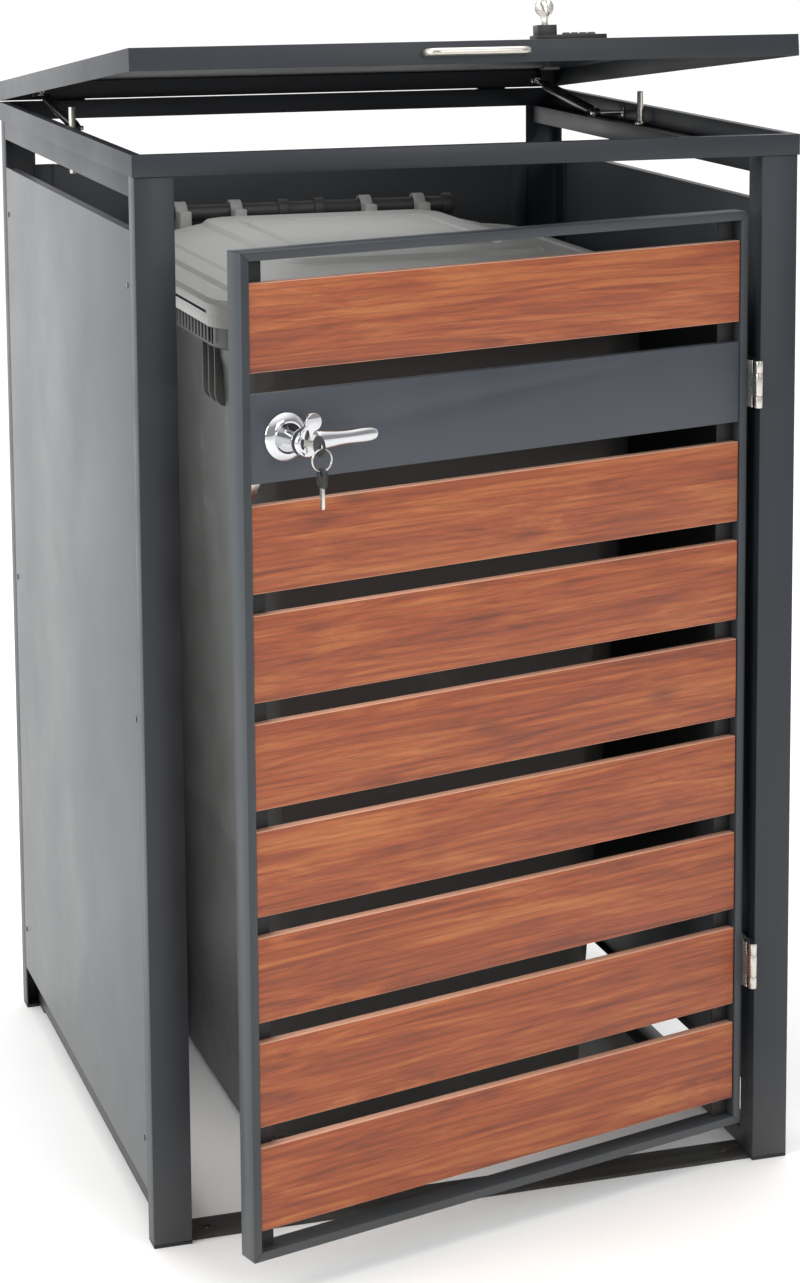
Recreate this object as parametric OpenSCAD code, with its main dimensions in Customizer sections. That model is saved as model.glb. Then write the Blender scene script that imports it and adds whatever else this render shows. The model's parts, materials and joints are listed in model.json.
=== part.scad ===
// Wheelie bin housing with a slatted door and a hinged lid, and the bin inside it.
// Millimetres, +Z up. The origin is on the ground, at the centre of the footprint.
// The door faces -Y. The door and the lid are drawn ajar, at the angles named below.

/* [Housing] */
// Overall width, over the ring and the lid
house_w = 780; // [740:1:900]
// Overall depth, over the ring and the lid
house_d = 820; // [790:1:960]
// Height from the ground to the top of the ring
house_h = 1235; // [1190:1:1480]
// Thickness of the folded steel sheet
sheet = 2; // [1.5:0.1:2.5]
// Wall of the welded steel tubes
tube_wall = 1.5; // [1:0.1:2]
// How far the ring stands out past the posts
ring_overhang = 2; // [0:0.5:5]

/* [Posts, panels and base] */
// Width of a post's front or rear face
post_face = 44; // [40:1:60]
// Width of a post's side face
post_side = 28; // [24:1:40]
// Depth of the fold that lines the door opening
reveal_depth = 38; // [24:1:42]
// Width of the fold behind each panel's edge
panel_lip = 24; // [16:1:30]
// Height of the panels' lower edge above the ground
panel_bottom = 58; // [40:1:90]
// Depth of the panels' top and bottom folds
panel_fold = 12; // [8:1:16]
// Height of the open slot between a side panel and its rail
side_slot = 37; // [20:1:50]
// Height of the side rails
rail_h = 23; // [18:1:30]
// Width of the side rails
rail_w = 35; // [28:1:40]
// Thickness of the pads and strips that touch the ground
pad_h = 4; // [3:0.5:6]
// Width and height of the side base bars
base_bar = [24, 20]; // [10:1:40]
// Width of the floor strips
strip_w = 48; // [40:1:60]
// Gap from a post's outer face to its floor strip
strip_inset = 8; // [7:1:12]
// Diameter of the ground anchor holes
anchor_d = 10; // [8:0.5:14]
// Distance from an anchor hole to the door opening's side
anchor_inset = 24; // [15:1:60]
// Diameter of the panel rivets' heads
rivet_d = 7; // [5:0.5:10]

/* [Ring and lid] */
// Width of the ring's tubes
ring_bar = 12; // [10:1:16]
// Height of the ring's tubes
ring_h = 24; // [20:1:30]
// Height of the lid's folded edge
lid_h = 25; // [24:1:35]
// Wall of the lid
lid_wall = 1.5; // [1:0.1:2]
// Gap between the closed lid and the ring
lid_seam = 0.5; // [0.3:0.1:1]
// Angle at which the lid stands open
lid_open = 6.2; // [0:0.1:20]
// Diameter of the two guide pins beside the lid
guide_pin_d = 8; // [6:0.5:10]
// Length of the lid's handle
lid_handle_len = 128; // [90:1:160]
// Diameter of the lid handle's bar
lid_handle_d = 9; // [7:0.5:12]
// Distance from the lid's edge to the middle of the handle's bar
lid_handle_out = 17; // [14:1:25]

/* [Door] */
// Gap on each side of the closed door
door_gap = 9; // [8:0.5:12]
// Height of the door's lower edge above the ground
door_bottom = 47; // [30:1:60]
// Height of the open slot between the door and the ring
door_slot = 64; // [40:1:90]
// How far the door's face lies behind the posts' faces
door_recess = 10; // [8:1:14]
// Width of the door frame's tubes
door_bar = 10; // [8:1:14]
// Depth of the door frame's tubes
door_depth = 28; // [26:1:34]
// Angle at which the door stands open
door_open = 15.4; // [0:0.1:40]
// Height of each board
board_h = 94; // [80:1:96]
// Thickness of each board
board_t = 12; // [10:0.5:14]
// How far the boards lie behind the frame's face
board_recess = 2; // [1:0.5:3]
// Width of the straps behind the boards
strap_w = 22; // [16:1:30]
// Thickness of the straps
strap_t = 3; // [2:0.5:4]

/* [Hinges] */
// Outer diameter of the door hinges' barrels
door_barrel_d = 10; // [9:0.5:12]
// Length of each door hinge
door_hinge_len = 55; // [40:1:70]
// Distance from the door's ends to the middle of its hinges
door_hinge_inset = 200; // [120:1:260]
// Outer diameter of the lid hinges' barrels
lid_barrel_d = 7; // [6:0.5:9]
// Length of each lid hinge
lid_hinge_len = 40; // [30:1:60]
// Distance from the middle to each lid hinge
lid_hinge_x = 295; // [200:1:310]
// Thickness of the hinges' leaves
leaf_t = 1.6; // [1.2:0.1:2]
// Diameter of the hinges' pins
hinge_pin_d = 4; // [3:0.5:4.5]

/* [Wheelie bin] */
// Width of the bin over its lid
bin_w = 564; // [520:1:600]
// Depth of the bin's lid
bin_d = 668; // [600:1:680]
// Height of the bin's rim
bin_rim_z = 1055; // [980:1:1070]
// Wall of the bin
bin_wall = 5; // [4:0.5:7]
// Diameter of the bin's wheels
wheel_d = 200; // [180:1:220]
// Width of the bin's wheels
wheel_w = 46; // [36:1:54]
// Diameter of the bin's axle
axle_d = 20; // [18:1:24]

/* [Hidden] */
$fn = 48;
running = 0.05;      // radial clearance of a turning pin in its hole
axial = 0.3;         // gap between faces that turn past each other
slip = 0.1;          // radial clearance of a fixed pin in its hole
clear = 0.5;         // side gap around pieces that lie in a frame
mitre_gap = 0.1;     // weld seam between two mitred tubes
eps = 1;             // how far a cutter runs past the face that it cuts

frame_w = house_w - 2 * ring_overhang;
frame_d = house_d - 2 * ring_overhang;
ring_z = house_h - ring_h;
open_x = frame_w / 2 - post_face;      // half the door opening's width
front_y = -frame_d / 2;
rail_z = ring_z - rail_h;
panel_top = rail_z - side_slot;

// Door, as if closed
door_front = front_y + door_recess;
door_x = open_x - door_gap;            // half the door's width
door_top = ring_z - door_slot;
door_height = door_top - door_bottom;
door_axis = [open_x - door_gap / 2, front_y - door_barrel_d / 2 - 0.5];
door_hinge_z = [door_bottom + door_hinge_inset, door_top - door_hinge_inset];
board_count = 9;
lock_board = 8;                        // counted from the bottom
board_gap = (door_height - 2 * door_bar - board_count * board_h) / (board_count + 1);
board_len = 2 * (door_x - door_bar - clear);
board_y = door_front + board_recess;
strap_y = board_y + board_t;
strap_hold = 12;                       // how far a cut strap still reaches onto a board
function board_z(i) = door_bottom + door_bar + board_gap + (i - 1) * (board_h + board_gap);

// Handle and lock on the door; the handle turns about the Y direction
handle_x = -door_x + 53;
handle_z = board_z(lock_board) + board_h / 2;
rosette_d = 53;
rosette_t = 8;
spindle_d = 16;
head_y = door_front - 46;              // front face of the handle's head
head_d = 31;
head_len = 18;
lever_len = 90;
cam_len = 78;
cam_w = 22;
cam_t = 3;
cam_turn = 28;                         // from straight down towards the free side
cam_y = front_y + max(reveal_depth, door_recess + door_depth) + 1;
cover_pivot = [-5.3, 11.3];            // X and Z of the dust cover's pin from the lock's axis
cover_pin_d = 3.5;
cover_pin_len = 5;
cover_ends = [14, 19];                 // diameters over the pin and over the lock
cover_neck = 12;
cover_reach = 14;
cover_t = 5;
cover_turn = 55;                       // how far the cover stands above level
cylinder_d = 18;
cylinder_len = 15;
key_out = 30;                          // how far a key stands out of its lock
key_t = 2.2;
key_hole_d = 6;
key_ring_d = 24;
key_wire_d = 1.8;

// Lid, as if closed
lid_z = house_h + lid_seam;
lid_top = lid_z + lid_h;
lid_axis = [house_d / 2 + lid_barrel_d / 2 + 0.5, house_h + lid_seam / 2];
lid_handle_z = lid_z + lid_h / 2;

// Lid stays
stay_x = frame_w / 2 - rail_w - 10;    // plane of both stays
stay_ring = [125, ring_z + 10];        // Y and Z of the pin on the ring
stay_lid = [lid_axis[0] - 44, lid_axis[1] + 10.5];
stay_tube_d = 14;
stay_rod_d = 6;
stay_pin_d = 6;
stay_eye_d = 13;
stay_eye_w = 8;
stay_tube_end = 196;                   // from the ring's pin to the tube's mouth
stay_bore_start = 60;
function lid_turn(p, a) = [
    lid_axis[0] + (p[0] - lid_axis[0]) * cos(a) + (p[1] - lid_axis[1]) * sin(a),
    lid_axis[1] - (p[0] - lid_axis[0]) * sin(a) + (p[1] - lid_axis[1]) * cos(a)];
stay_end = lid_turn(stay_lid, lid_open);
stay_len = norm(stay_end - stay_ring);
stay_angle = atan2(stay_end[1] - stay_ring[1], stay_end[0] - stay_ring[0]);

// Combination lock on the lid
lock_x = 88;
lock_y = -house_d / 2 + 18;
lock_base_h = 5;
knob_size = [22, 18, 11];
knob_pin_d = 8;
dial_x = [for (i = [0:3]) lock_x + 25 + 10 * i];
dial_d = 16;
dial_t = 8;
dial_shaft_d = 3;
lid_cam_z = house_h - 8;
lid_cam_len = 14;
lid_cam_w = 10;

// Wheelie bin
bin_y = -5;                            // middle of the bin's lid
rim_band = 55;                         // height of the rim's band
rim_x = bin_w / 2 - 10;
rim_y = [bin_y - bin_d / 2 + 12, bin_y + bin_d / 2 - 22];
bin_top_x = rim_x - 14;
bin_base_x = bin_top_x - 42;
bin_base_z = 14;
bin_base_y = [rim_y[0] + 136, rim_y[1] - 76];
wheel_axis = [bin_base_y[1] + 28, wheel_d / 2];
wheel_x = bin_base_x - 1;              // inner face of each wheel
wheel_gap = 10;
axle_block = 44;
bin_bar_d = 22;
bin_bar_axis = [rim_y[1] + 38, bin_rim_z + 30];
bin_lid_z = bin_rim_z + 0.5;
bin_lid_h = 34;
bin_skirt = 26;

steel_dark = "#40474f";
steel_edge = "#5a626a";
wood = "#a8644a";
nickel = "#c9c7c2";
black = "#1c1c1e";

// ---------- placing ----------

module door_pose() {
    translate([door_axis[0], door_axis[1], 0])
        rotate([0, 0, door_open])
            translate([-door_axis[0], -door_axis[1], 0])
                children();
}

module lid_pose() {
    translate([0, lid_axis[0], lid_axis[1]])
        rotate([-lid_open, 0, 0])
            translate([0, -lid_axis[0], -lid_axis[1]])
                children();
}

// Everything at +1 is on the right, everything at -1 on the left
module on_side(side) {
    scale_x = side > 0 ? 0 : 1;
    mirror([scale_x, 0, 0]) children();
}

module both_sides() {
    for (side = [-1, 1]) on_side(side) children();
}

// A cylinder along X, centred on x = 0
module x_cylinder(d, length) {
    rotate([0, 90, 0]) cylinder(d = d, h = length, center = true);
}

// A cylinder along Y from y = 0
module y_cylinder(d, length) {
    rotate([-90, 0, 0]) cylinder(d = d, h = length);
}

// A block given by its low and high corners
module block(low, high) {
    translate(low) cube(high - low);
}

// A tube with mitred ends along X; its long side is on y = 0
module mitred_tube(length, face, depth, wall) {
    outline = [
        [mitre_gap, 0], [length - mitre_gap, 0],
        [length - face - mitre_gap, face], [face + mitre_gap, face]];
    difference() {
        linear_extrude(depth) polygon(outline);
        block([-eps, wall, wall], [length + eps, face - wall, depth - wall]);
    }
}

// Four mitred tubes around a rectangle that is centred in X and Y
module tube_frame(w, d, face, depth, wall) {
    for (turn = [0, 180]) rotate([0, 0, turn]) {
        translate([-w / 2, -d / 2, 0]) mitred_tube(w, face, depth, wall);
        translate([w / 2, -d / 2, 0])
            rotate([0, 0, 90]) mitred_tube(d, face, depth, wall);
    }
}

// A rectangle with round corners between two Y positions, centred in X
module round_rect(half_w, y_low, y_high, r) {
    hull()
        for (x = [-half_w + r, half_w - r], y = [y_low + r, y_high - r])
            translate([x, y]) circle(r, $fn = 32);
}

// ---------- housing ----------

// A post's folded section: outer corner at the origin, inside towards +X and +Y
module post_section(is_rear) {
    square([post_face, sheet]);
    square([sheet, post_side]);
    if (!is_rear)
        translate([post_face - sheet, 0]) square([sheet, reveal_depth]);
}

// The folds behind the panels' edges, stepped in by one sheet
module post_lips(is_rear) {
    translate([0, post_side - sheet]) square([2 * sheet, sheet]);
    translate([sheet, post_side - sheet]) square([sheet, panel_lip]);
    if (is_rear) {
        translate([post_face - sheet, 0]) square([sheet, 2 * sheet]);
        translate([post_face - sheet, sheet]) square([panel_lip, sheet]);
    }
}

module post(side, is_rear) {
    color(steel_dark)
        on_side(side)
            mirror([0, is_rear ? 1 : 0, 0])
                translate([frame_w / 2, front_y, 0])
                    mirror([1, 0, 0]) {
                        translate([0, 0, pad_h])
                            linear_extrude(ring_z - pad_h) post_section(is_rear);
                        translate([0, 0, panel_bottom])
                            linear_extrude(panel_top - panel_bottom) post_lips(is_rear);
                    }
}

module post_pads() {
    pad_x = open_x + sheet + base_bar[0] + 1;
    color(black)
        both_sides() for (flip = [0, 1]) mirror([0, flip, 0]) {
            block([open_x, front_y, 0], [frame_w / 2, front_y + strip_inset - 1, pad_h]);
            block([pad_x, front_y, 0], [frame_w / 2, front_y + post_side, pad_h]);
        }
}

// A flat panel in the XZ plane, face on y = 0, with folds along its top and bottom
module folded_panel(half_w) {
    fold_x = half_w - panel_lip - 1;
    block([-half_w, 0, panel_bottom], [half_w, sheet, panel_top]);
    block([-fold_x, 0, panel_top - sheet], [fold_x, panel_fold, panel_top]);
    block([-fold_x, 0, panel_bottom], [fold_x, panel_fold, panel_bottom + sheet]);
}

module panel_side(side) {
    color(steel_dark)
        on_side(side)
            translate([frame_w / 2, 0, 0])
                rotate([0, 0, 90]) folded_panel(frame_d / 2 - post_side);
}

module panel_back() {
    color(steel_dark)
        translate([0, frame_d / 2, 0])
            rotate([0, 0, 180]) folded_panel(open_x);
}

// Rivet heads on the panels, over the posts' lips
module panel_rivets() {
    levels = [panel_bottom + 58, (panel_bottom + panel_top) / 2, panel_top - 61];
    side_y = frame_d / 2 - post_side - panel_lip / 2;
    back_x = open_x - panel_lip / 2;
    color(steel_edge)
        for (z = levels) {
            for (x = [-1, 1], y = [-1, 1])
                translate([x * (frame_w / 2 + 0.5), y * side_y, z]) x_cylinder(rivet_d, 1);
            for (x = [-1, 1])
                translate([x * back_x, frame_d / 2, z]) y_cylinder(rivet_d, 1);
        }
}

// The side rails: closed tubes, flush with the side panels, that the ring rests on
module side_rails() {
    y_in = frame_d / 2 - sheet;
    y_out = frame_d / 2 - post_side;
    inner_x = frame_w / 2 - rail_w;
    color(steel_dark)
        both_sides()
            difference() {
                union() {
                    block([inner_x, -y_in, rail_z], [frame_w / 2 - sheet, y_in, ring_z]);
                    block([inner_x, -y_out, rail_z], [frame_w / 2, y_out, ring_z]);
                }
                block(
                    [inner_x + tube_wall, -y_in - eps, rail_z + tube_wall],
                    [frame_w / 2 - sheet - tube_wall, y_in + eps, ring_z - tube_wall]);
                translate([guide_pin_x(), guide_pin_y(), rail_z - eps])
                    cylinder(d = guide_pin_d + 2 * slip, h = rail_h + 2 * eps);
            }
}

function guide_pin_x() = house_w / 2 - ring_bar - guide_pin_d - 3;
function guide_pin_y() = 32;

// Two steel pins through the side rails that guide the closing lid
module lid_guide_pins() {
    nut_h = 5;
    color(nickel)
        both_sides() translate([guide_pin_x(), guide_pin_y(), 0]) {
            translate([0, 0, rail_z - 14])
                cylinder(d = guide_pin_d, h = lid_z + lid_h - lid_wall - 4 - rail_z + 14);
            translate([0, 0, ring_z]) cylinder(d = guide_pin_d * 1.7, h = nut_h);
            translate([0, 0, rail_z - nut_h]) cylinder(d = guide_pin_d * 1.7, h = nut_h);
        }
}

module base_bars() {
    y_in = frame_d / 2 - sheet;
    x_low = open_x + sheet;
    x_high = x_low + base_bar[0];
    z_high = pad_h + base_bar[1];
    color(steel_dark)
        both_sides() difference() {
            block([x_low, -y_in, pad_h], [x_high, y_in, z_high]);
            block(
                [x_low + tube_wall, -y_in - eps, pad_h + tube_wall],
                [x_high - tube_wall, y_in + eps, z_high - tube_wall]);
        }
}

// Flat strips on the ground, front and rear, with the anchor holes
module floor_strips() {
    x_end = open_x + sheet + base_bar[0];
    color(black)
        for (flip = [0, 1]) mirror([0, flip, 0]) difference() {
            translate([-x_end, front_y + strip_inset, 0]) cube([2 * x_end, strip_w, pad_h]);
            for (x = [-1, 1])
                translate([x * (open_x - anchor_inset), front_y + strip_inset + strip_w / 2, -eps])
                    cylinder(d = anchor_d, h = pad_h + 2 * eps);
        }
}

// The ring's four tubes; the front one has a slot for the lid lock's cam
module top_ring() {
    slot_half = lid_cam_len + 2;
    color(steel_dark)
        difference() {
            translate([0, 0, ring_z]) tube_frame(house_w, house_d, ring_bar, ring_h, tube_wall);
            block(
                [lock_x - slot_half, -house_d / 2 + ring_bar - 2 * tube_wall, lid_cam_z - 2],
                [lock_x + slot_half, -house_d / 2 + ring_bar + eps, lid_cam_z + cam_t + 2]);
        }
}

// ---------- hinges ----------

module door_hinge_fixed() {
    outer = door_hinge_len / 4;
    leaf_x = open_x - leaf_t;
    color(nickel)
        for (z = door_hinge_z) {
            for (end = [0, 1])
                translate([0, 0, z - door_hinge_len / 2 + end * (door_hinge_len - outer)]) {
                    translate(door_axis) cylinder(d = door_barrel_d, h = outer);
                    block([leaf_x, door_axis[1], 0], [open_x, front_y + 3, outer]);
                }
            block(
                [leaf_x, front_y + 1, z - door_hinge_len / 2],
                [open_x, front_y + reveal_depth - 2, z + door_hinge_len / 2]);
            translate([door_axis[0], door_axis[1], z - door_hinge_len / 2])
                cylinder(d = hinge_pin_d, h = door_hinge_len);
        }
}

module door_hinge_moving() {
    middle = door_hinge_len / 2 - 2 * axial;
    color(nickel)
        door_pose() for (z = door_hinge_z) difference() {
            union() {
                translate([door_axis[0], door_axis[1], z - middle / 2])
                    cylinder(d = door_barrel_d, h = middle);
                block([door_x, door_axis[1], z - middle / 2], [door_x + leaf_t, door_front, z + middle / 2]);
                block(
                    [door_x, front_y + 1, z - door_hinge_len / 2],
                    [door_x + leaf_t, door_front + door_depth - 4, z + door_hinge_len / 2]);
            }
            translate([door_axis[0], door_axis[1], z - door_hinge_len])
                cylinder(d = hinge_pin_d + 2 * running, h = 2 * door_hinge_len);
        }
}

module lid_hinge_fixed() {
    outer = lid_hinge_len / 4;
    color(black)
        both_sides() translate([lid_hinge_x, 0, 0]) {
            for (x = [-1, 1])
                translate([x * (lid_hinge_len - outer) / 2, lid_axis[0], lid_axis[1]])
                    x_cylinder(lid_barrel_d, outer);
            translate([0, lid_axis[0], lid_axis[1]]) x_cylinder(2.6, lid_hinge_len);
            for (x = [-1, 1]) translate([x * (lid_hinge_len - outer) / 2, 0, 0])
                block(
                    [-outer / 2, house_d / 2, ring_z + 4],
                    [outer / 2, house_d / 2 + leaf_t, lid_axis[1]]);
            block(
                [-lid_hinge_len / 2, house_d / 2, ring_z + 4],
                [lid_hinge_len / 2, house_d / 2 + leaf_t, house_h - 5]);
        }
}

module lid_hinge_moving() {
    middle = lid_hinge_len / 2 - 2 * axial;
    color(black)
        lid_pose() both_sides() translate([lid_hinge_x, 0, 0]) difference() {
            union() {
                translate([0, lid_axis[0], lid_axis[1]]) x_cylinder(lid_barrel_d, middle);
                block(
                    [-middle / 2, house_d / 2, lid_axis[1]],
                    [middle / 2, house_d / 2 + leaf_t, lid_top - 4]);
                block(
                    [-lid_hinge_len / 2, house_d / 2, lid_z + 5],
                    [lid_hinge_len / 2, house_d / 2 + leaf_t, lid_top - 4]);
            }
            translate([0, lid_axis[0], lid_axis[1]])
                x_cylinder(2.6 + 2 * running, 2 * lid_hinge_len);
        }
}

// ---------- door ----------

module door_frame() {
    color(steel_edge)
        door_pose()
            translate([0, door_front + door_depth, door_bottom + door_height / 2])
                rotate([90, 0, 0])
                    tube_frame(2 * door_x, door_height, door_bar, door_depth, tube_wall);
}

// The straps behind the boards; the one on the free side leaves room for the lock's cam
module door_straps() {
    color(steel_dark)
        door_pose() difference() {
            both_sides()
                block(
                    [door_x - door_bar - clear - strap_w, strap_y, door_bottom + door_bar],
                    [door_x - door_bar - clear, strap_y + strap_t, door_top - door_bar]);
            block(
                [-door_x, strap_y - eps, board_z(lock_board) - board_gap - strap_hold],
                [0, strap_y + strap_t + eps, board_z(lock_board + 1) + strap_hold]);
        }
}

module wood_board(i) {
    color(wood)
        door_pose()
            translate([-board_len / 2, board_y, board_z(i)]) cube([board_len, board_t, board_h]);
}

// The folded steel tray between the boards, which carries the handle
module lock_board_tray() {
    z = board_z(lock_board);
    color(steel_dark)
        door_pose() difference() {
            translate([-board_len / 2, board_y, z]) cube([board_len, board_t, board_h]);
            translate([-board_len / 2 + sheet, board_y + sheet, z + sheet])
                cube([board_len - 2 * sheet, board_t, board_h - 2 * sheet]);
            translate([handle_x, board_y - eps, handle_z])
                y_cylinder(spindle_d + 2 * running, board_t);
        }
}

// Screws through the straps into each board
module board_screws() {
    head_h = 2;
    color(nickel)
        door_pose()
            for (i = [1:board_count], x = [-1, 1], z = [0.25, 0.75])
                if (i != lock_board)
                    translate([
                        x * (door_x - door_bar - clear - strap_w / 2),
                        strap_y + strap_t,
                        board_z(i) + z * board_h])
                        y_cylinder(9, head_h);
}

// ---------- door handle and keys ----------

module handle_rosette() {
    color("#d8d8d6")
        door_pose()
            translate([handle_x, board_y - rosette_t, handle_z])
                difference() {
                    union() {
                        y_cylinder(rosette_d - 8, rosette_t);
                        translate([0, 3, 0]) y_cylinder(rosette_d, rosette_t - 3);
                    }
                    translate([0, -eps, 0])
                        y_cylinder(spindle_d + 2 * running, rosette_t + 2 * eps);
                }
}

module door_handle() {
    lever_y = head_y + head_len / 2;
    color("#d8d8d6")
        door_pose() difference() {
            union() {
                translate([handle_x, lever_y, handle_z])
                    y_cylinder(spindle_d, cam_y - lever_y);
                translate([handle_x, head_y, handle_z]) y_cylinder(head_d, head_len);
                hull() {
                    translate([handle_x, lever_y - 7, handle_z]) y_cylinder(22, 14, $fn = 32);
                    translate([handle_x + lever_len / 2, lever_y - 6, handle_z])
                        y_cylinder(17, 10, $fn = 32);
                }
                hull() {
                    translate([handle_x + lever_len / 2, lever_y - 6, handle_z])
                        y_cylinder(17, 10, $fn = 32);
                    translate([handle_x + lever_len - 6, lever_y - 4, handle_z])
                        y_cylinder(12, 7, $fn = 32);
                }
            }
            translate([handle_x, head_y - eps, handle_z])
                y_cylinder(cylinder_d + 2 * running, cylinder_len + eps + axial);
            translate([handle_x + cover_pivot[0], head_y - eps, handle_z + cover_pivot[1]])
                y_cylinder(cover_pin_d + 2 * running, cover_pin_len + axial + eps);
        }
}

// The dust cover, swung up off the lock on its pin
module door_lock_cover() {
    color("#d8d8d6")
        door_pose()
            translate([handle_x + cover_pivot[0], head_y, handle_z + cover_pivot[1]]) {
                rotate([0, -cover_turn, 0]) translate([0, -cover_t - axial, 0]) {
                    y_cylinder(cover_ends[0], cover_t);
                    block([0, 0, -cover_neck / 2], [cover_reach, cover_t, cover_neck / 2]);
                    translate([cover_reach, 0, 0]) y_cylinder(cover_ends[1], cover_t);
                }
                translate([0, -axial - eps, 0])
                    y_cylinder(cover_pin_d, cover_pin_len + axial + eps);
            }
}

// The cam on the spindle's inner end; it hangs aslant while the lever is level
module door_cam() {
    color(nickel)
        door_pose()
            translate([handle_x, cam_y, handle_z]) {
                rotate([0, cam_turn, 0])
                    block([-cam_w / 2, 0, -cam_len], [cam_w / 2, cam_t, cam_w / 2]);
                translate([0, cam_t, 0]) y_cylinder(14, 4);
            }
}

module door_lock_cylinder() {
    color("#5d6b78")
        door_pose()
            translate([handle_x, head_y, handle_z]) difference() {
                y_cylinder(cylinder_d, cylinder_len);
                block([-key_t / 2 - slip, -eps, -4], [key_t / 2 + slip, cylinder_len - 2, 4]);
            }
}

// A key with its blade along +Y from y = -key_out + 16 and its bow before it
module key_shape(blade) {
    difference() {
        union() {
            block([-key_t / 2, -key_out + 16, -3.6], [key_t / 2, blade, 3.6]);
            translate([0, -key_out + 10, 0]) x_cylinder(22, key_t);
        }
        translate([0, -key_out + 5, 0]) x_cylinder(key_hole_d, 3 * key_t);
    }
}

module door_key() {
    color(nickel)
        door_pose()
            translate([handle_x, head_y, handle_z]) key_shape(cylinder_len - 3);
}

// Centre of the split ring: its wire lies on the lower edge of the hole in the key's bow
ring_centre = [
    handle_x, head_y - key_out + 5,
    handle_z - key_ring_d / 2 - key_hole_d / 2 + key_wire_d / 2 + axial];

module door_key_ring() {
    color(nickel)
        door_pose()
            translate(ring_centre)
                rotate([90, 0, 0])
                    rotate_extrude() translate([key_ring_d / 2, 0]) circle(d = key_wire_d, $fn = 16);
}

// The second key hangs from the ring, its plastic head up
module door_spare_key() {
    hole_d = 5;
    hole_z = -key_ring_d / 2 + key_wire_d / 2 + axial - hole_d / 2;
    color(black)
        door_pose()
            translate(ring_centre + [0, 0, hole_z]) difference() {
                union() {
                    translate([-1.7, -9, -16]) cube([3.4, 18, 20.5]);
                    translate([-1, -3.5, -39]) cube([2, 7, 24]);
                }
                x_cylinder(hole_d, 8);
            }
}

// ---------- lid ----------

module lid_tray() {
    half_w = house_w / 2;
    half_d = house_d / 2;
    color(steel_dark)
        lid_pose() difference() {
            block([-half_w, -half_d, lid_z], [half_w, half_d, lid_top]);
            block(
                [-half_w + lid_wall, -half_d + lid_wall, lid_z - eps],
                [half_w - lid_wall, half_d - lid_wall, lid_top - lid_wall]);
            block(
                [lock_x - 6, lock_y - 10.2, lid_top - lid_h / 2],
                [dial_x[3] + 9.2, lock_y + 10.2, lid_top + eps]);
        }
}

module lid_handle() {
    color("#b9b6b0")
        lid_pose()
            translate([0, -house_d / 2, lid_handle_z]) {
                translate([0, -lid_handle_out, 0]) x_cylinder(lid_handle_d, lid_handle_len);
                for (x = [-1, 1])
                    translate([x * (lid_handle_len / 2 - lid_handle_d), -lid_handle_out, 0])
                        y_cylinder(lid_handle_d - 1, lid_handle_out);
            }
}

module lid_stay_brackets() {
    plate_x = stay_x + stay_eye_w / 2 + 2.6 + axial;
    color(black)
        lid_pose() both_sides() {
            block(
                [plate_x, stay_lid[0] - 11, lid_z + 3],
                [plate_x + 2, stay_lid[0] + 11, lid_top - lid_wall]);
            block(
                [plate_x, stay_lid[0] - 11, lid_top - lid_wall - 2],
                [plate_x + 22, stay_lid[0] + 11, lid_top - lid_wall]);
        }
}

module lid_lock_base() {
    x_low = lock_x - 14;
    x_high = dial_x[3] + 14;
    color(black)
        lid_pose() difference() {
            union() {
                block([x_low, lock_y - 13, lid_top], [x_high, lock_y + 13, lid_top + lock_base_h]);
                block(
                    [lock_x - 6 + slip, lock_y - 10, lid_top - 18],
                    [dial_x[3] + 9, lock_y + 10, lid_top + 1]);
            }
            translate([lock_x, lock_y, lid_z - eps])
                cylinder(d = knob_pin_d + 2 * running, h = lid_h + lock_base_h + 2 * eps);
            for (x = dial_x) translate([x, lock_y, lid_top]) difference() {
                x_cylinder(dial_d + 1, dial_t + 2 * axial);
                x_cylinder(dial_shaft_d, dial_t + 2);
            }
        }
}

module lid_lock_knob() {
    knob_z = lid_top + lock_base_h + axial;
    color(black)
        lid_pose() translate([lock_x, lock_y, 0]) difference() {
            union() {
                translate([0, 0, knob_z + knob_size[2] / 2]) cube(knob_size, center = true);
                translate([0, 0, lid_cam_z]) cylinder(d = knob_pin_d, h = knob_z - lid_cam_z + 1);
                block(
                    [-lid_cam_w / 2, -lid_cam_w / 2, lid_cam_z],
                    [lid_cam_len, lid_cam_w / 2, lid_cam_z + cam_t]);
            }
            translate([0, 0, knob_z + 2]) cylinder(d = 7 + 2 * running, h = knob_size[2]);
        }
}

// The key stands in the knob, with a second key leaning on its bow
module lid_lock_key() {
    knob_top = lid_top + lock_base_h + axial + knob_size[2];
    color(nickel)
        lid_pose() translate([lock_x, lock_y, knob_top]) {
            translate([0, 0, -knob_size[2] + 2 + axial]) cylinder(d = 7, h = knob_size[2] - 2);
            rotate([90, 0, 0]) rotate([0, 90, 0]) rotate([0, 0, 180]) key_shape(0);
        }
}

module dial(i) {
    color("#3a3a3c")
        lid_pose() translate([dial_x[i], lock_y, lid_top]) difference() {
            x_cylinder(dial_d, dial_t);
            x_cylinder(dial_shaft_d + 2 * running, dial_t + 2);
        }
}

// ---------- lid stays ----------

module stay_pose(side) {
    on_side(side)
        translate([stay_x, stay_ring[0], stay_ring[1]])
            rotate([stay_angle, 0, 0])
                children();
}

module stay_ring_pins() {
    plate_h = 16;
    wall_x = house_w / 2 - ring_bar;
    color(nickel)
        both_sides() {
            block(
                [wall_x - 2, stay_ring[0] - 9, ring_z + 2],
                [wall_x, stay_ring[0] + 9, ring_z + 2 + plate_h]);
            translate([(wall_x + stay_x - 8) / 2, stay_ring[0], stay_ring[1]])
                x_cylinder(stay_pin_d, wall_x - stay_x + 8);
        }
}

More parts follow.
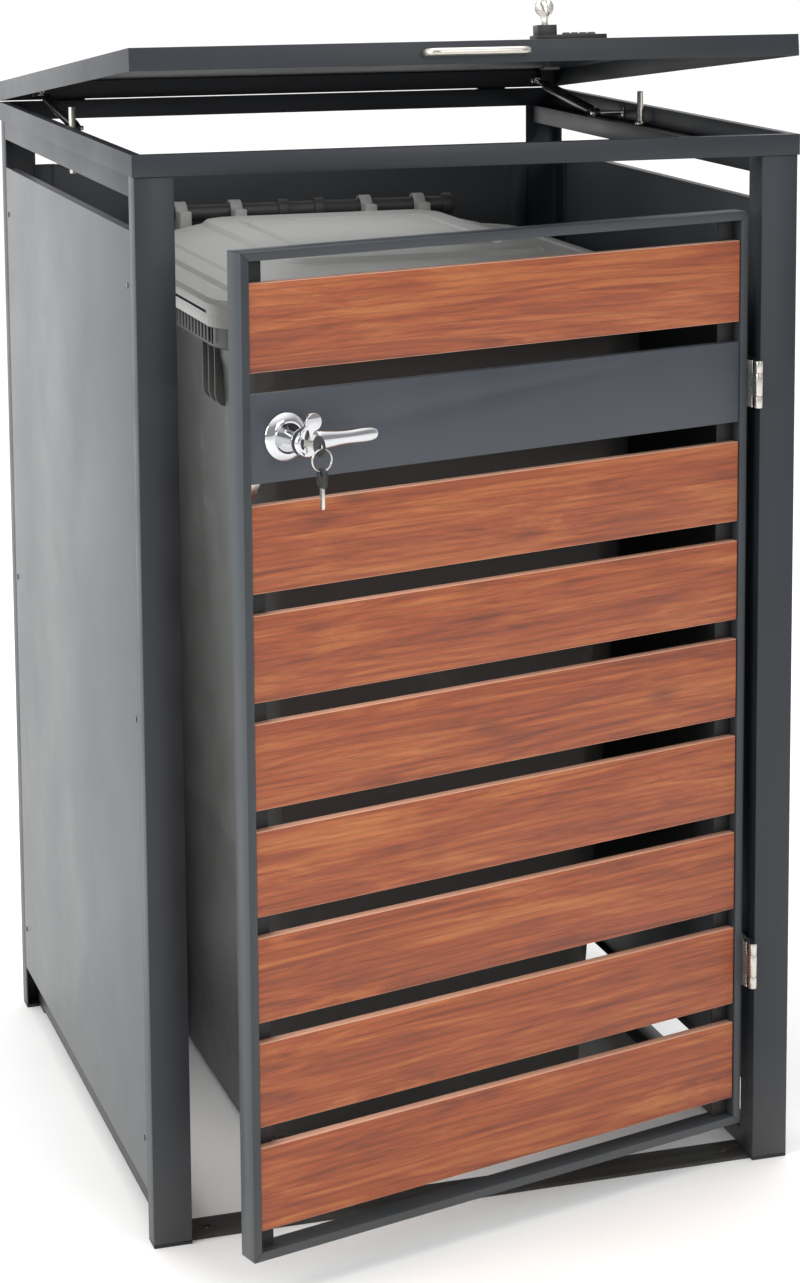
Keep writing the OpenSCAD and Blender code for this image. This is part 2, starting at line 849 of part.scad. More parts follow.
module stay_tube(side) {
    color(black)
        stay_pose(side) difference() {
            union() {
                x_cylinder(stay_eye_d, stay_eye_w);
                translate([0, 4, 0]) y_cylinder(stay_eye_w - 1, 12);
                translate([0, 14, 0]) y_cylinder(stay_tube_d, stay_tube_end - 14);
            }
            x_cylinder(stay_pin_d + 2 * running, 2 * stay_eye_w);
            translate([0, stay_bore_start, 0])
                y_cylinder(stay_rod_d + 2 * running, stay_tube_end);
        }
}

module stay_rod(side) {
    rod_start = stay_bore_start + 20;
    color(nickel)
        stay_pose(side) {
            translate([0, rod_start, 0]) y_cylinder(stay_rod_d, stay_len - rod_start);
            translate([0, stay_len, 0]) x_cylinder(stay_eye_d, stay_eye_w);
            translate([stay_eye_w / 2 + 1.3, stay_len, 0]) x_cylinder(8, 2.6);
        }
}

// ---------- wheelie bin ----------

module bin_loft(inset, z_low, z_high) {
    hull() {
        translate([0, 0, z_low])
            linear_extrude(1)
                round_rect(bin_base_x - inset, bin_base_y[0] + inset, bin_base_y[1] - inset, 55);
        translate([0, 0, z_high - 1])
            linear_extrude(1)
                round_rect(bin_top_x - inset, rim_y[0] + 14 + inset, rim_y[1] - 14 - inset, 42);
    }
}

module wheel_wells(grow) {
    both_sides()
        translate([wheel_x - wheel_gap - grow + 100, wheel_axis[0], wheel_axis[1]])
            x_cylinder(wheel_d + 2 * wheel_gap + 2 * grow, 200);
}

module bin_body() {
    color("#4b4b49")
        difference() {
            union() {
                difference() {
                    bin_loft(0, bin_base_z, bin_rim_z);
                    wheel_wells(0);
                }
                translate([0, 0, bin_rim_z - rim_band])
                    linear_extrude(rim_band) round_rect(rim_x, rim_y[0], rim_y[1], 50);
                block(
                    [-wheel_x + wheel_gap, wheel_axis[0] - 46, wheel_axis[1] - axle_block / 2],
                    [wheel_x - wheel_gap, wheel_axis[0] + 20, wheel_axis[1] + axle_block / 2]);
                both_sides()
                    block(
                        [bin_base_x - 80, bin_base_y[0] + 20, 0],
                        [bin_base_x - 30, bin_base_y[0] + 75, bin_base_z + 4]);
            }
            difference() {
                bin_loft(bin_wall, bin_base_z + bin_wall, bin_rim_z + eps);
                wheel_wells(bin_wall);
            }
            translate([0, wheel_axis[0], wheel_axis[1]])
                x_cylinder(axle_d + 2 * slip, bin_w);
        }
}

module bin_axle() {
    end_x = wheel_x + wheel_w + 3;
    color("#8c8c8a")
        translate([0, wheel_axis[0], wheel_axis[1]]) {
            x_cylinder(axle_d, 2 * end_x);
            both_sides() translate([end_x + 2, 0, 0]) x_cylinder(axle_d + 8, 4);
        }
}

module bin_wheel(side) {
    color(black)
        on_side(side)
            translate([wheel_x + wheel_w / 2, wheel_axis[0], wheel_axis[1]]) difference() {
                union() {
                    x_cylinder(wheel_d - 8, wheel_w);
                    x_cylinder(wheel_d, wheel_w - 12);
                }
                x_cylinder(axle_d + 2 * running, 2 * wheel_w);
                for (face = [-1, 1]) translate([face * wheel_w / 2, 0, 0]) difference() {
                    x_cylinder(wheel_d - 44, 2 * 14);
                    x_cylinder(axle_d + 24, 3 * 14);
                }
            }
}

// The handle bar behind the rim, in its four lugs
module bin_handle() {
    lug_y = rim_y[1];
    color("#6a6a68") {
        translate([0, bin_bar_axis[0], bin_bar_axis[1]]) x_cylinder(bin_bar_d, 430);
        for (x = [-205, -25, 25, 205]) {
            translate([x, bin_bar_axis[0], bin_bar_axis[1]]) x_cylinder(bin_bar_d + 8, 14);
            block(
                [x - 7, lug_y, bin_rim_z - rim_band + 5],
                [x + 7, bin_bar_axis[0], bin_rim_z - 4]);
            block(
                [x - 7, bin_bar_axis[0] - 8, bin_rim_z - 6],
                [x + 7, bin_bar_axis[0] + 8, bin_bar_axis[1] - 4]);
        }
    }
}

module bin_lid_outer(inset) {
    half = bin_w / 2 - inset;
    y_low = bin_y - bin_d / 2 + inset;
    y_high = rim_y[1] - inset;
    hull() {
        translate([0, 0, bin_lid_z + 6 - inset])
            linear_extrude(1) round_rect(half, y_low, y_high, 52);
        translate([0, 0, bin_lid_z + bin_lid_h - inset - 1])
            linear_extrude(1) round_rect(half - 70, y_low + 80, y_high - 20, 60);
    }
}

module bin_lid() {
    color("#9c9c9a")
        difference() {
            union() {
                bin_lid_outer(0);
                translate([0, 0, bin_lid_z - bin_skirt])
                    linear_extrude(bin_skirt + 6.5)
                        round_rect(bin_w / 2, bin_y - bin_d / 2, rim_y[1], 52);
            }
            bin_lid_outer(4);
            translate([0, 0, bin_lid_z - bin_skirt - eps])
                linear_extrude(bin_skirt + 2 + eps)
                    round_rect(rim_x + 5, rim_y[0] - 5, rim_y[1] + 80, 54);
            block(
                [-bin_w, rim_y[1] - 40, bin_lid_z - bin_skirt - eps],
                [bin_w, rim_y[1] + 80, bin_lid_z]);
        }
}

// The lid's arms, which turn on the handle bar
module bin_lid_arms() {
    color("#9c9c9a")
        for (side = [-1, 1], shift = [90, 165])
            translate([side * shift, 0, 0]) difference() {
                union() {
                    translate([0, bin_bar_axis[0], bin_bar_axis[1]]) x_cylinder(bin_bar_d + 10, 16);
                    block(
                        [-8, rim_y[1], bin_lid_z + 0.5],
                        [8, bin_bar_axis[0], bin_bar_axis[1] + 6]);
                }
                translate([0, bin_bar_axis[0], bin_bar_axis[1]])
                    x_cylinder(bin_bar_d + 2 * running, 20);
            }
}

post(-1, false);  // post_front_left
post(1, false);  // post_front_right
post(-1, true);  // post_rear_left
post(1, true);  // post_rear_right
post_pads();
panel_side(-1);  // panel_left
panel_side(1);  // panel_right
panel_back();
panel_rivets();
side_rails();
base_bars();
floor_strips();
top_ring();
lid_guide_pins();
door_hinge_fixed();
lid_hinge_fixed();
stay_ring_pins();
door_frame();
door_straps();
wood_board(1);  // board_1
wood_board(2);  // board_2
wood_board(3);  // board_3
wood_board(4);  // board_4
wood_board(5);  // board_5
wood_board(6);  // board_6
wood_board(7);  // board_7
wood_board(9);  // board_9
lock_board_tray();
board_screws();
door_hinge_moving();
handle_rosette();
door_handle();
door_cam();
door_lock_cover();
door_lock_cylinder();
door_key();
door_key_ring();
door_spare_key();
lid_tray();
lid_handle();
lid_hinge_moving();
lid_stay_brackets();
lid_lock_base();
lid_lock_knob();
lid_lock_key();
dial(0);  // dial_1
dial(1);  // dial_2
dial(2);  // dial_3
dial(3);  // dial_4
stay_tube(-1);  // stay_tube_left
stay_tube(1);  // stay_tube_right
stay_rod(-1);  // stay_rod_left
stay_rod(1);  // stay_rod_right
bin_body();
bin_lid();
bin_lid_arms();
bin_handle();
bin_axle();
bin_wheel(-1);  // bin_wheel_left
bin_wheel(1);  // bin_wheel_right
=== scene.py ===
import json
import math

import bmesh
import bpy
from bpy.props import FloatProperty, FloatVectorProperty, IntProperty, PointerProperty
from mathutils import Matrix, Vector


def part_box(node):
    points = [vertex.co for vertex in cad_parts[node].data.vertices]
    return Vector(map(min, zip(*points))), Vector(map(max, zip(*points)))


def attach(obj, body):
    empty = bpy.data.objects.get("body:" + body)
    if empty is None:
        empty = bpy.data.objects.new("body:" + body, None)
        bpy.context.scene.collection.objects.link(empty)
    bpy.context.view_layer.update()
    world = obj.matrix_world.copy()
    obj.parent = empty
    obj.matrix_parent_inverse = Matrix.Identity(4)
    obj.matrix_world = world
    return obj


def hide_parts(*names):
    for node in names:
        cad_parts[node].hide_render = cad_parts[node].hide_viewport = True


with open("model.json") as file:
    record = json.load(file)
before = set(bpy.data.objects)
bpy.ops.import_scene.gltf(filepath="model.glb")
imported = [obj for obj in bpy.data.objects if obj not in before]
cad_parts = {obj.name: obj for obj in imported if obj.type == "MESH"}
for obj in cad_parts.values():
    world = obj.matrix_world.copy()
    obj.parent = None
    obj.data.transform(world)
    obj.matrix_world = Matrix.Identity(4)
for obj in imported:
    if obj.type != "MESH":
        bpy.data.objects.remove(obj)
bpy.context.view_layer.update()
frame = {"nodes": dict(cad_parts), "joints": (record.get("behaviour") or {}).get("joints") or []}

bl_info = {
    "name": "Wheelie bin housing",
    "version": (1, 0, 0),
    "blender": (4, 5, 0),
    "location": "View3D > Sidebar > Bin housing",
    "description": "Builds the looks of a slatted wheelie bin housing around its CAD model",
    "category": "Add Mesh",
}

MM = 0.001
JOINTS = {joint["name"]: joint for joint in frame["joints"]}
# An edge or face whose direction is past this lies along that axis.
STRAIGHT = 0.9


# ---------- where the CAD puts things ----------

def hinge_turn(name):
    """The matrix that takes a piece from its closed place to where the CAD draws it."""
    joint = JOINTS[name]
    angle = -math.radians(joint["range_deg"][0])
    pivot = Matrix.Translation(Vector(joint["pos_m"]))
    return pivot @ Matrix.Rotation(angle, 4, Vector(joint["axis"])) @ pivot.inverted()


DOOR_TURN = hinge_turn("door_hinge")
LID_TURN = hinge_turn("lid_hinge")
AT_REST = Matrix.Identity(4)


def closed_box(node, turn=AT_REST):
    """Low and high corners of a CAD node with its door or lid shut."""
    back = turn.inverted()
    points = [back @ v.co for v in frame["nodes"][node].data.vertices]
    low = Vector(min(p[i] for p in points) for i in range(3))
    high = Vector(max(p[i] for p in points) for i in range(3))
    return low, high


def middle(box):
    return (box[0] + box[1]) / 2


# ---------- modelling ----------

def only(piece):
    """Selects one piece and nothing else."""
    bpy.ops.object.select_all(action="DESELECT")
    piece.select_set(True)
    bpy.context.view_layer.objects.active = piece


def edit(piece, kind="FACE"):
    """Enters edit mode on one piece with nothing in it selected."""
    only(piece)
    bpy.ops.object.mode_set(mode="EDIT")
    bpy.ops.mesh.select_mode(type=kind)
    bpy.ops.mesh.select_all(action="DESELECT")


def leave_edit():
    bpy.ops.object.mode_set(mode="OBJECT")


def face_outwards():
    """Points all faces of the piece in edit mode outwards and leaves edit mode."""
    bpy.ops.mesh.select_all(action="SELECT")
    bpy.ops.mesh.normals_make_consistent(inside=False)
    leave_edit()


def discard(piece):
    bpy.data.objects.remove(piece, do_unlink=True)


def pick(piece, test, kind="faces"):
    """Selects the faces or edges whose middle and direction pass the test."""
    mesh = bmesh.from_edit_mesh(piece.data)
    mesh.normal_update()
    for part in getattr(mesh, kind):
        if kind == "faces":
            part.select_set(test(part.calc_center_median(), part.normal))
        else:
            ends = [v.co for v in part.verts]
            part.select_set(test((ends[0] + ends[1]) / 2, (ends[1] - ends[0]).normalized()))
    mesh.select_flush_mode()
    bmesh.update_edit_mesh(piece.data)


def round_edges(piece, radius, segments, test):
    """Rounds those edges of a piece that pass the test."""
    edit(piece, "EDGE")
    pick(piece, test, "edges")
    bpy.ops.mesh.bevel(offset=radius, segments=segments, affect="EDGES")
    leave_edit()


def settle(piece, name):
    """Names a new piece and moves its place into its mesh."""
    piece.name = name
    piece.data.name = name
    only(piece)
    bpy.ops.object.transform_apply(location=True, rotation=True, scale=True)
    return piece


def block(name, low, high):
    """A box between two corners."""
    low, high = Vector(low), Vector(high)
    bpy.ops.object.select_all(action="DESELECT")
    bpy.ops.mesh.primitive_cube_add(size=1, location=(low + high) / 2)
    piece = bpy.context.object
    piece.scale = high - low
    return settle(piece, name)


def turned(name, stations, origin, direction, segments=48):
    """A turned piece: stations are distance along the axis and radius, both in metres."""
    first = stations[0]
    bpy.ops.object.select_all(action="DESELECT")
    bpy.ops.mesh.primitive_circle_add(vertices=segments, radius=first[1], fill_type="NGON")
    piece = bpy.context.object
    bpy.ops.object.mode_set(mode="EDIT")
    bpy.ops.mesh.select_mode(type="FACE")
    bpy.ops.mesh.select_all(action="SELECT")
    for before, after in zip(stations, stations[1:]):
        step = (0, 0, after[0] - before[0])
        bpy.ops.mesh.extrude_region_move(TRANSFORM_OT_translate={"value": step})
        ratio = after[1] / before[1]
        bpy.ops.transform.resize(
            value=(ratio, ratio, 1), center_override=(0, 0, after[0] - first[0]))
    face_outwards()
    turn = Vector(direction).normalized().to_track_quat("Z", "Y").to_matrix().to_4x4()
    place = Matrix.Translation(Vector(origin)) @ turn @ Matrix.Translation((0, 0, first[0]))
    piece.matrix_world = place
    return settle(piece, name)


def loft_up(piece, levels):
    """Extrudes the selected top face through levels of (z, half width, low y, high y)."""
    for z, half_w, y_low, y_high in levels:
        mesh = bmesh.from_edit_mesh(piece.data)
        now = [v.co.copy() for v in mesh.verts if v.select]
        size = [max(p[i] for p in now) - min(p[i] for p in now) for i in range(3)]
        centre = [(max(p[i] for p in now) + min(p[i] for p in now)) / 2 for i in range(3)]
        step = (-centre[0], (y_low + y_high) / 2 - centre[1], z - centre[2])
        bpy.ops.mesh.extrude_region_move(TRANSFORM_OT_translate={"value": step})
        bpy.ops.transform.resize(
            value=(2 * half_w / size[0], (y_high - y_low) / size[1], 1),
            center_override=(0, (y_low + y_high) / 2, z))


def soften(piece, width, segments=2, angle=35):
    """Rounds a piece's sharp edges and smooths its shading."""
    only(piece)
    bevel = piece.modifiers.new("edges", "BEVEL")
    bevel.width = width
    bevel.segments = segments
    bevel.limit_method = "ANGLE"
    bevel.angle_limit = math.radians(angle)
    bevel.harden_normals = False
    bpy.ops.object.modifier_apply(modifier=bevel.name)
    bpy.ops.object.shade_smooth_by_angle(angle=math.radians(angle))
    return piece


def carve(piece, cutter):
    """Cuts one piece out of another."""
    only(piece)
    cut = piece.modifiers.new("cut", "BOOLEAN")
    cut.object = cutter
    cut.operation = "DIFFERENCE"
    cut.solver = "EXACT"
    bpy.ops.object.modifier_apply(modifier=cut.name)
    discard(cutter)
    return piece


def join(name, pieces):
    """Joins pieces into one, which takes the given name."""
    only(pieces[0])
    for piece in pieces[1:]:
        piece.select_set(True)
    bpy.ops.object.join()
    return settle(bpy.context.object, name)


def copies(piece, places):
    """Copies a piece, each with its own mesh, by the given matrices."""
    made = []
    for place in places:
        twin = piece.copy()
        twin.data = piece.data.copy()
        bpy.context.scene.collection.objects.link(twin)
        twin.data.transform(place)
        made.append(twin)
    return made


def merged_copy(node, name):
    """A copy of a CAD node with its loose triangles joined into clean faces."""
    piece = frame["nodes"][node].copy()
    piece.data = frame["nodes"][node].data.copy()
    piece.parent = None
    for key in list(piece.keys()):
        del piece[key]
    bpy.context.scene.collection.objects.link(piece)
    piece.name = name
    piece.data.name = name
    piece.data.materials.clear()
    edit(piece, "VERT")
    bpy.ops.mesh.select_all(action="SELECT")
    bpy.ops.mesh.remove_doubles(threshold=0.01 * MM)
    bpy.ops.mesh.dissolve_limited(angle_limit=math.radians(0.5))
    leave_edit()
    return piece


def hand_over(piece, body, material, nodes=(), turn=AT_REST):
    """Seats a finished piece in its place, paints it and hangs it on its body."""
    piece.data.transform(turn)
    piece.data.materials.clear()
    piece.data.materials.append(material)
    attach(piece, body)
    if nodes:
        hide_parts(*nodes)
    return piece


def stand_in(piece, node, body, finish, turn=AT_REST):
    """Hands over a piece that stands for one CAD node and hides that node."""
    return hand_over(piece, body, FINISHES[finish], [node], turn)


# ---------- materials ----------

def linear(hex_colour):
    """An sRGB hex colour as the linear RGBA that shaders use."""
    parts = [int(hex_colour[i:i + 2], 16) / 255 for i in (1, 3, 5)]
    return opaque(c / 12.92 if c <= 0.04045 else ((c + 0.055) / 1.055) ** 2.4 for c in parts)


def opaque(rgb):
    return tuple(rgb) + (1,)


def add_node(tree, kind, settings=None, links=None):
    """Adds a node, sets its inputs or properties by name and links its inputs."""
    made = tree.nodes.new(kind)
    for key, value in (settings or {}).items():
        if key == "stops":
            ramp = made.color_ramp
            while len(ramp.elements) < len(value):
                ramp.elements.new(0.5)
            for element, (place, colour) in zip(ramp.elements, value):
                element.position = place
                element.color = colour
        elif key in made.inputs:
            made.inputs[key].default_value = value
        else:
            setattr(made, key, value)
    for key, socket in (links or {}).items():
        tree.links.new(socket, made.inputs[key])
    return made


def start_material(name, colour, roughness, metallic=0.0, ior=1.5):
    """A plain material to build on; a metal keeps the shader's own IOR."""
    material = bpy.data.materials.new(name)
    material.use_nodes = True
    tree = material.node_tree
    shader = tree.nodes["Principled BSDF"]
    shader.inputs["Base Color"].default_value = colour
    shader.inputs["Roughness"].default_value = roughness
    shader.inputs["Metallic"].default_value = metallic
    if not metallic:
        shader.inputs["IOR"].default_value = ior
    material.diffuse_color = colour
    return material, tree, shader


def powder_coat(name, colour, roughness=0.46):
    """Powder coat on steel: baked polyester with an orange-peel skin and dust low down."""
    material, tree, shader = start_material(name, colour, roughness)
    place = add_node(tree, "ShaderNodeTexCoord")
    # The real peel is about 0.5 mm across; it is drawn at 1.4 mm so that it shows.
    peel = add_node(
        tree, "ShaderNodeTexNoise", {"Scale": 1 / (1.4 * MM), "Detail": 3.0},
        {"Vector": place.outputs["Object"]})
    # The coat's tone drifts over patches about a hand wide.
    cloud = add_node(
        tree, "ShaderNodeTexNoise", {"Scale": 1 / (180 * MM), "Detail": 4.0, "Roughness": 0.6},
        {"Vector": place.outputs["Object"]})
    darker = opaque(c * 0.86 for c in colour[:3])
    lighter = opaque(c * 1.12 for c in colour[:3])
    tone = add_node(
        tree, "ShaderNodeValToRGB", {"stops": [(0.3, darker), (0.7, lighter)]},
        {"Fac": cloud.outputs["Fac"]})
    # Dust lies on the lowest 160 mm and thins out upwards.
    height = add_node(tree, "ShaderNodeSeparateXYZ", {}, {"Vector": place.outputs["Object"]})
    low = add_node(
        tree, "ShaderNodeMapRange",
        {"From Min": 0.0, "From Max": 160 * MM, "To Min": 0.22, "To Max": 0.0},
        {"Value": height.outputs["Z"]})
    dust_patch = add_node(
        tree, "ShaderNodeMath", {"operation": "MULTIPLY"},
        {0: low.outputs["Result"], 1: cloud.outputs["Fac"]})
    dusty = add_node(
        tree, "ShaderNodeMixRGB", {"Color2": linear("#8b857b")},
        {"Fac": dust_patch.outputs["Value"], "Color1": tone.outputs["Color"]})
    gloss = add_node(
        tree, "ShaderNodeMapRange",
        {"From Min": 0.3, "From Max": 0.7, "To Min": roughness - 0.05, "To Max": roughness + 0.07},
        {"Value": cloud.outputs["Fac"]})
    bump = add_node(
        tree, "ShaderNodeBump", {"Strength": 0.16, "Distance": 0.06 * MM},
        {"Height": peel.outputs["Fac"]})
    tree.links.new(dusty.outputs["Color"], shader.inputs["Base Color"])
    tree.links.new(gloss.outputs["Result"], shader.inputs["Roughness"])
    tree.links.new(bump.outputs["Normal"], shader.inputs["Normal"])
    return material


def wood_laminate(name, colour, turn):
    """Walnut-look pressed laminate: printed grain along the board, satin resin surface."""
    material, tree, shader = start_material(name, colour, 0.48)
    dark, deep, pale = linear("#6d3523"), linear("#43200f"), linear("#b26d3c")
    place = add_node(tree, "ShaderNodeTexCoord")
    # Pores run along the board: about 45 mm long and 1.2 mm apart.
    pores = add_node(
        tree, "ShaderNodeMapping",
        {"Scale": (1 / (45 * MM), 1 / (30 * MM), 1 / (1.2 * MM)), "Rotation": (0, 0, turn)},
        {"Vector": place.outputs["Object"]})
    fine = add_node(
        tree, "ShaderNodeTexNoise", {"Scale": 1.0, "Detail": 4.0, "Roughness": 0.7},
        {"Vector": pores.outputs["Vector"]})
    # The figure is about 330 mm long and 24 mm across, and wanders.
    figure_place = add_node(
        tree, "ShaderNodeMapping",
        {"Scale": (1 / (330 * MM), 1 / (200 * MM), 1 / (24 * MM)), "Rotation": (0, 0, turn)},
        {"Vector": place.outputs["Object"]})
    figure = add_node(
        tree, "ShaderNodeTexNoise",
        {"Scale": 1.0, "Detail": 9.0, "Roughness": 0.66, "Distortion": 1.5},
        {"Vector": figure_place.outputs["Vector"]})
    bands = add_node(
        tree, "ShaderNodeTexWave",
        {"wave_type": "BANDS", "bands_direction": "Z", "Scale": 0.9, "Distortion": 8.0,
         "Detail": 4.0, "Detail Scale": 0.7, "Detail Roughness": 0.6},
        {"Vector": figure_place.outputs["Vector"]})
    base = add_node(
        tree, "ShaderNodeValToRGB",
        {"stops": [(0.3, dark), (0.5, colour), (0.72, pale)]}, {"Fac": figure.outputs["Fac"]})
    streak = add_node(
        tree, "ShaderNodeValToRGB",
        {"stops": [(0.0, (0.6, 0.56, 0.56, 1)), (0.3, (1, 1, 1, 1)),
                   (1.0, (1.1, 1.07, 1.02, 1))]},
        {"Fac": bands.outputs["Fac"]})
    banded = add_node(
        tree, "ShaderNodeMixRGB", {"blend_type": "MULTIPLY", "Fac": 0.45},
        {"Color1": base.outputs["Color"], "Color2": streak.outputs["Color"]})
    grain = add_node(
        tree, "ShaderNodeValToRGB",
        {"stops": [(0.3, (0.62, 0.58, 0.56, 1)), (0.5, (1, 1, 1, 1)),
                   (0.75, (1.14, 1.12, 1.08, 1))]},
        {"Fac": fine.outputs["Fac"]})
    grained = add_node(
        tree, "ShaderNodeMixRGB", {"blend_type": "MULTIPLY", "Fac": 0.75},
        {"Color1": banded.outputs["Color"], "Color2": grain.outputs["Color"]})
    # Small ragged knots, about 14 mm across and a hand's length apart.
    knot_place = add_node(
        tree, "ShaderNodeMapping",
        {"Scale": (1 / (190 * MM), 1 / (400 * MM), 1 / (95 * MM)), "Rotation": (0, 0, turn)},
        {"Vector": place.outputs["Object"]})
    ragged = add_node(
        tree, "ShaderNodeMixRGB", {"blend_type": "LINEAR_LIGHT", "Fac": 0.09},
        {"Color1": knot_place.outputs["Vector"], "Color2": figure.outputs["Color"]})
    knots = add_node(
        tree, "ShaderNodeTexVoronoi", {"Scale": 1.0, "Randomness": 1.0},
        {"Vector": ragged.outputs["Color"]})
    spot = add_node(
        tree, "ShaderNodeMapRange",
        {"From Min": 0.03, "From Max": 0.16, "To Min": 0.5, "To Max": 0.0},
        {"Value": knots.outputs["Distance"]})
    knotted = add_node(
        tree, "ShaderNodeMixRGB", {"Color2": deep},
        {"Fac": spot.outputs["Result"], "Color1": grained.outputs["Color"]})
    gloss = add_node(
        tree, "ShaderNodeMapRange",
        {"From Min": 0.3, "From Max": 0.7, "To Min": 0.55, "To Max": 0.4},
        {"Value": fine.outputs["Fac"]})
    bump = add_node(
        tree, "ShaderNodeBump", {"Strength": 0.25, "Distance": 0.08 * MM},
        {"Height": fine.outputs["Fac"]})
    tree.links.new(knotted.outputs["Color"], shader.inputs["Base Color"])
    tree.links.new(gloss.outputs["Result"], shader.inputs["Roughness"])
    tree.links.new(bump.outputs["Normal"], shader.inputs["Normal"])
    return material


def worked_metal(name, colour, roughness, line_mm=0.0):
    """Bare or plated metal: polished where line_mm is 0, else brushed with lines that far apart."""
    material, tree, shader = start_material(name, colour, roughness, metallic=1.0)
    across = 1 / ((line_mm or 6) * MM)
    along = across / 40 if line_mm else across
    place = add_node(tree, "ShaderNodeTexCoord")
    lines_place = add_node(
        tree, "ShaderNodeMapping", {"Scale": (along, across, across)},
        {"Vector": place.outputs["Object"]})
    lines = add_node(
        tree, "ShaderNodeTexNoise", {"Scale": 1.0, "Detail": 4.0},
        {"Vector": lines_place.outputs["Vector"]})
    spread = 0.09 if line_mm else 0.04
    gloss = add_node(
        tree, "ShaderNodeMapRange",
        {"From Min": 0.3, "From Max": 0.7, "To Min": max(0.02, roughness - spread),
         "To Max": roughness + spread},
        {"Value": lines.outputs["Fac"]})
    tree.links.new(gloss.outputs["Result"], shader.inputs["Roughness"])
    if line_mm:
        bump = add_node(
            tree, "ShaderNodeBump", {"Strength": 0.12, "Distance": 0.03 * MM},
            {"Height": lines.outputs["Fac"]})
        tree.links.new(bump.outputs["Normal"], shader.inputs["Normal"])
    return material


def moulded_plastic(name, colour, roughness, grain_mm=1.1, scuff=0.12):
    """Injection-moulded polyethylene or ABS: leathery mould grain, soft gloss, pale scuffs."""
    material, tree, shader = start_material(name, colour, roughness, ior=1.46)
    place = add_node(tree, "ShaderNodeTexCoord")
    grain = add_node(
        tree, "ShaderNodeTexNoise", {"Scale": 1 / (grain_mm * MM), "Detail": 2.0},
        {"Vector": place.outputs["Object"]})
    # Scuffs gather in patches about 70 mm wide.
    wear = add_node(
        tree, "ShaderNodeTexNoise", {"Scale": 1 / (70 * MM), "Detail": 8.0, "Roughness": 0.7},
        {"Vector": place.outputs["Object"]})
    scuffed = opaque(min(1.0, c * 1.35 + 0.02) for c in colour[:3])
    shaded = opaque(c * 0.88 for c in colour[:3])
    tone = add_node(
        tree, "ShaderNodeValToRGB", {"stops": [(0.3, shaded), (0.58, colour), (0.75, scuffed)]},
        {"Fac": wear.outputs["Fac"]})
    mixed = add_node(
        tree, "ShaderNodeMixRGB", {"Fac": min(1.0, scuff * 5), "Color1": colour},
        {"Color2": tone.outputs["Color"]})
    gloss = add_node(
        tree, "ShaderNodeMapRange",
        {"From Min": 0.3, "From Max": 0.7, "To Min": roughness - 0.06, "To Max": roughness + 0.1},
        {"Value": wear.outputs["Fac"]})
    bump = add_node(
        tree, "ShaderNodeBump", {"Strength": 0.3, "Distance": 0.07 * MM},
        {"Height": grain.outputs["Fac"]})
    tree.links.new(mixed.outputs["Color"], shader.inputs["Base Color"])
    tree.links.new(gloss.outputs["Result"], shader.inputs["Roughness"])
    tree.links.new(bump.outputs["Normal"], shader.inputs["Normal"])
    return material


FINISHES = {}


def mix_finishes(looks):
    """Makes every finish once, from the colours in the panel."""
    door_angle = math.radians(JOINTS["door_hinge"]["range_deg"][0])
    FINISHES.update({
        # Posts, rails, ring and lid: nearly black and matt, with a soft line of light on each fold.
        "coat": powder_coat("powder_coat_anthracite", opaque(looks.coat)),
        # Flat sheet in a lighter grey: broad, even light without reflections.
        "panel": powder_coat("powder_coat_panel_sheet", opaque(looks.panel), 0.42),
        # Slim door frame and rivets: a crisper edge of light than on the posts.
        "frame": powder_coat("powder_coat_door_frame", opaque(looks.door_frame), 0.4),
        # Folded board around the lock: a cool blue-grey satin face.
        "tray": powder_coat("powder_coat_lock_board", opaque(looks.lock_board), 0.44),
        # Straps and floor strips: the coat painted near-black as painted shade, for where they lie
        # in shade behind the boards and on the ground.
        "coat_painted_shade": powder_coat("powder_coat_black", linear("#0e0f11"), 0.6),
        # Printed and pressed laminate: red-brown figure under a satin resin skin.
        "wood": wood_laminate("walnut_laminate_satin", opaque(looks.wood), door_angle),
        # Upper and lower faces of the boards: painted pale as a painted highlight, a bright line
        # above and below each face where the edges catch the light.
        "wood_edge_highlight": moulded_plastic("laminate_core_edge", linear("#d3a187"), 0.5, 0.7, 0.1),
        # Plated hinges, screws and key blades: warm grey with streaked, soft highlights.
        "nickel": worked_metal("nickel_plate_satin", linear("#c8c5be"), 0.28, 0.8),
        # Cast and polished lever and rose: mirrors its surroundings in hard black and white.
        "chrome": worked_metal("chrome_plate_polished", linear("#cdced1"), 0.06),
        # Bent and brushed rod: one long drawn-out highlight.
        "steel": worked_metal("stainless_steel_brushed", linear("#c4bfb6"), 0.3, 0.6),
        # Drawn and galvanised axle: dull grey without clear reflections.
        "zinc": worked_metal("galvanised_steel_drawn", linear("#a9aaa8"), 0.42, 1.2),
        # Anodised face around the key hole: blue with a metal sheen.
        "lock_face": worked_metal("aluminium_anodised_blue", linear("#174a78"), 0.3),
        # Stoved stays and lid hinges: deep black with small clear highlights.
        "enamel": moulded_plastic(
            "stoved_enamel_black", linear("#151517"), 0.28, grain_mm=1.4, scuff=0.05),
        # Moulded lock, knob, dials, key heads and foot pads: soft black with a fine grain.
        "black": moulded_plastic(
            "moulded_abs_black", linear("#1c1c1e"), 0.42, grain_mm=0.8, scuff=0.08),
        # Solid rubber tyres: dull black, greyed where they roll.
        "tyre": moulded_plastic(
            "solid_rubber_black", linear("#232323"), 0.72, grain_mm=1.6, scuff=0.16),
        # The bin's moulded body: dark, slightly waxy grey with pale scuffs.
        "bin_dark": moulded_plastic(
            "moulded_polyethylene_graphite", opaque(looks.bin_body), 0.46),
        # The bin's lid: the same plastic in pale grey, cleaner.
        "bin_light": moulded_plastic(
            "moulded_polyethylene_grey", opaque(looks.bin_lid), 0.44, scuff=0.06),
    })


# ---------- sizes and colours that a user would change ----------

def colour_setting(label, hex_colour):
    return FloatVectorProperty(
        name=label, description=label + " colour", subtype="COLOR", size=3,
        min=0.0, max=1.0, default=linear(hex_colour)[:3])


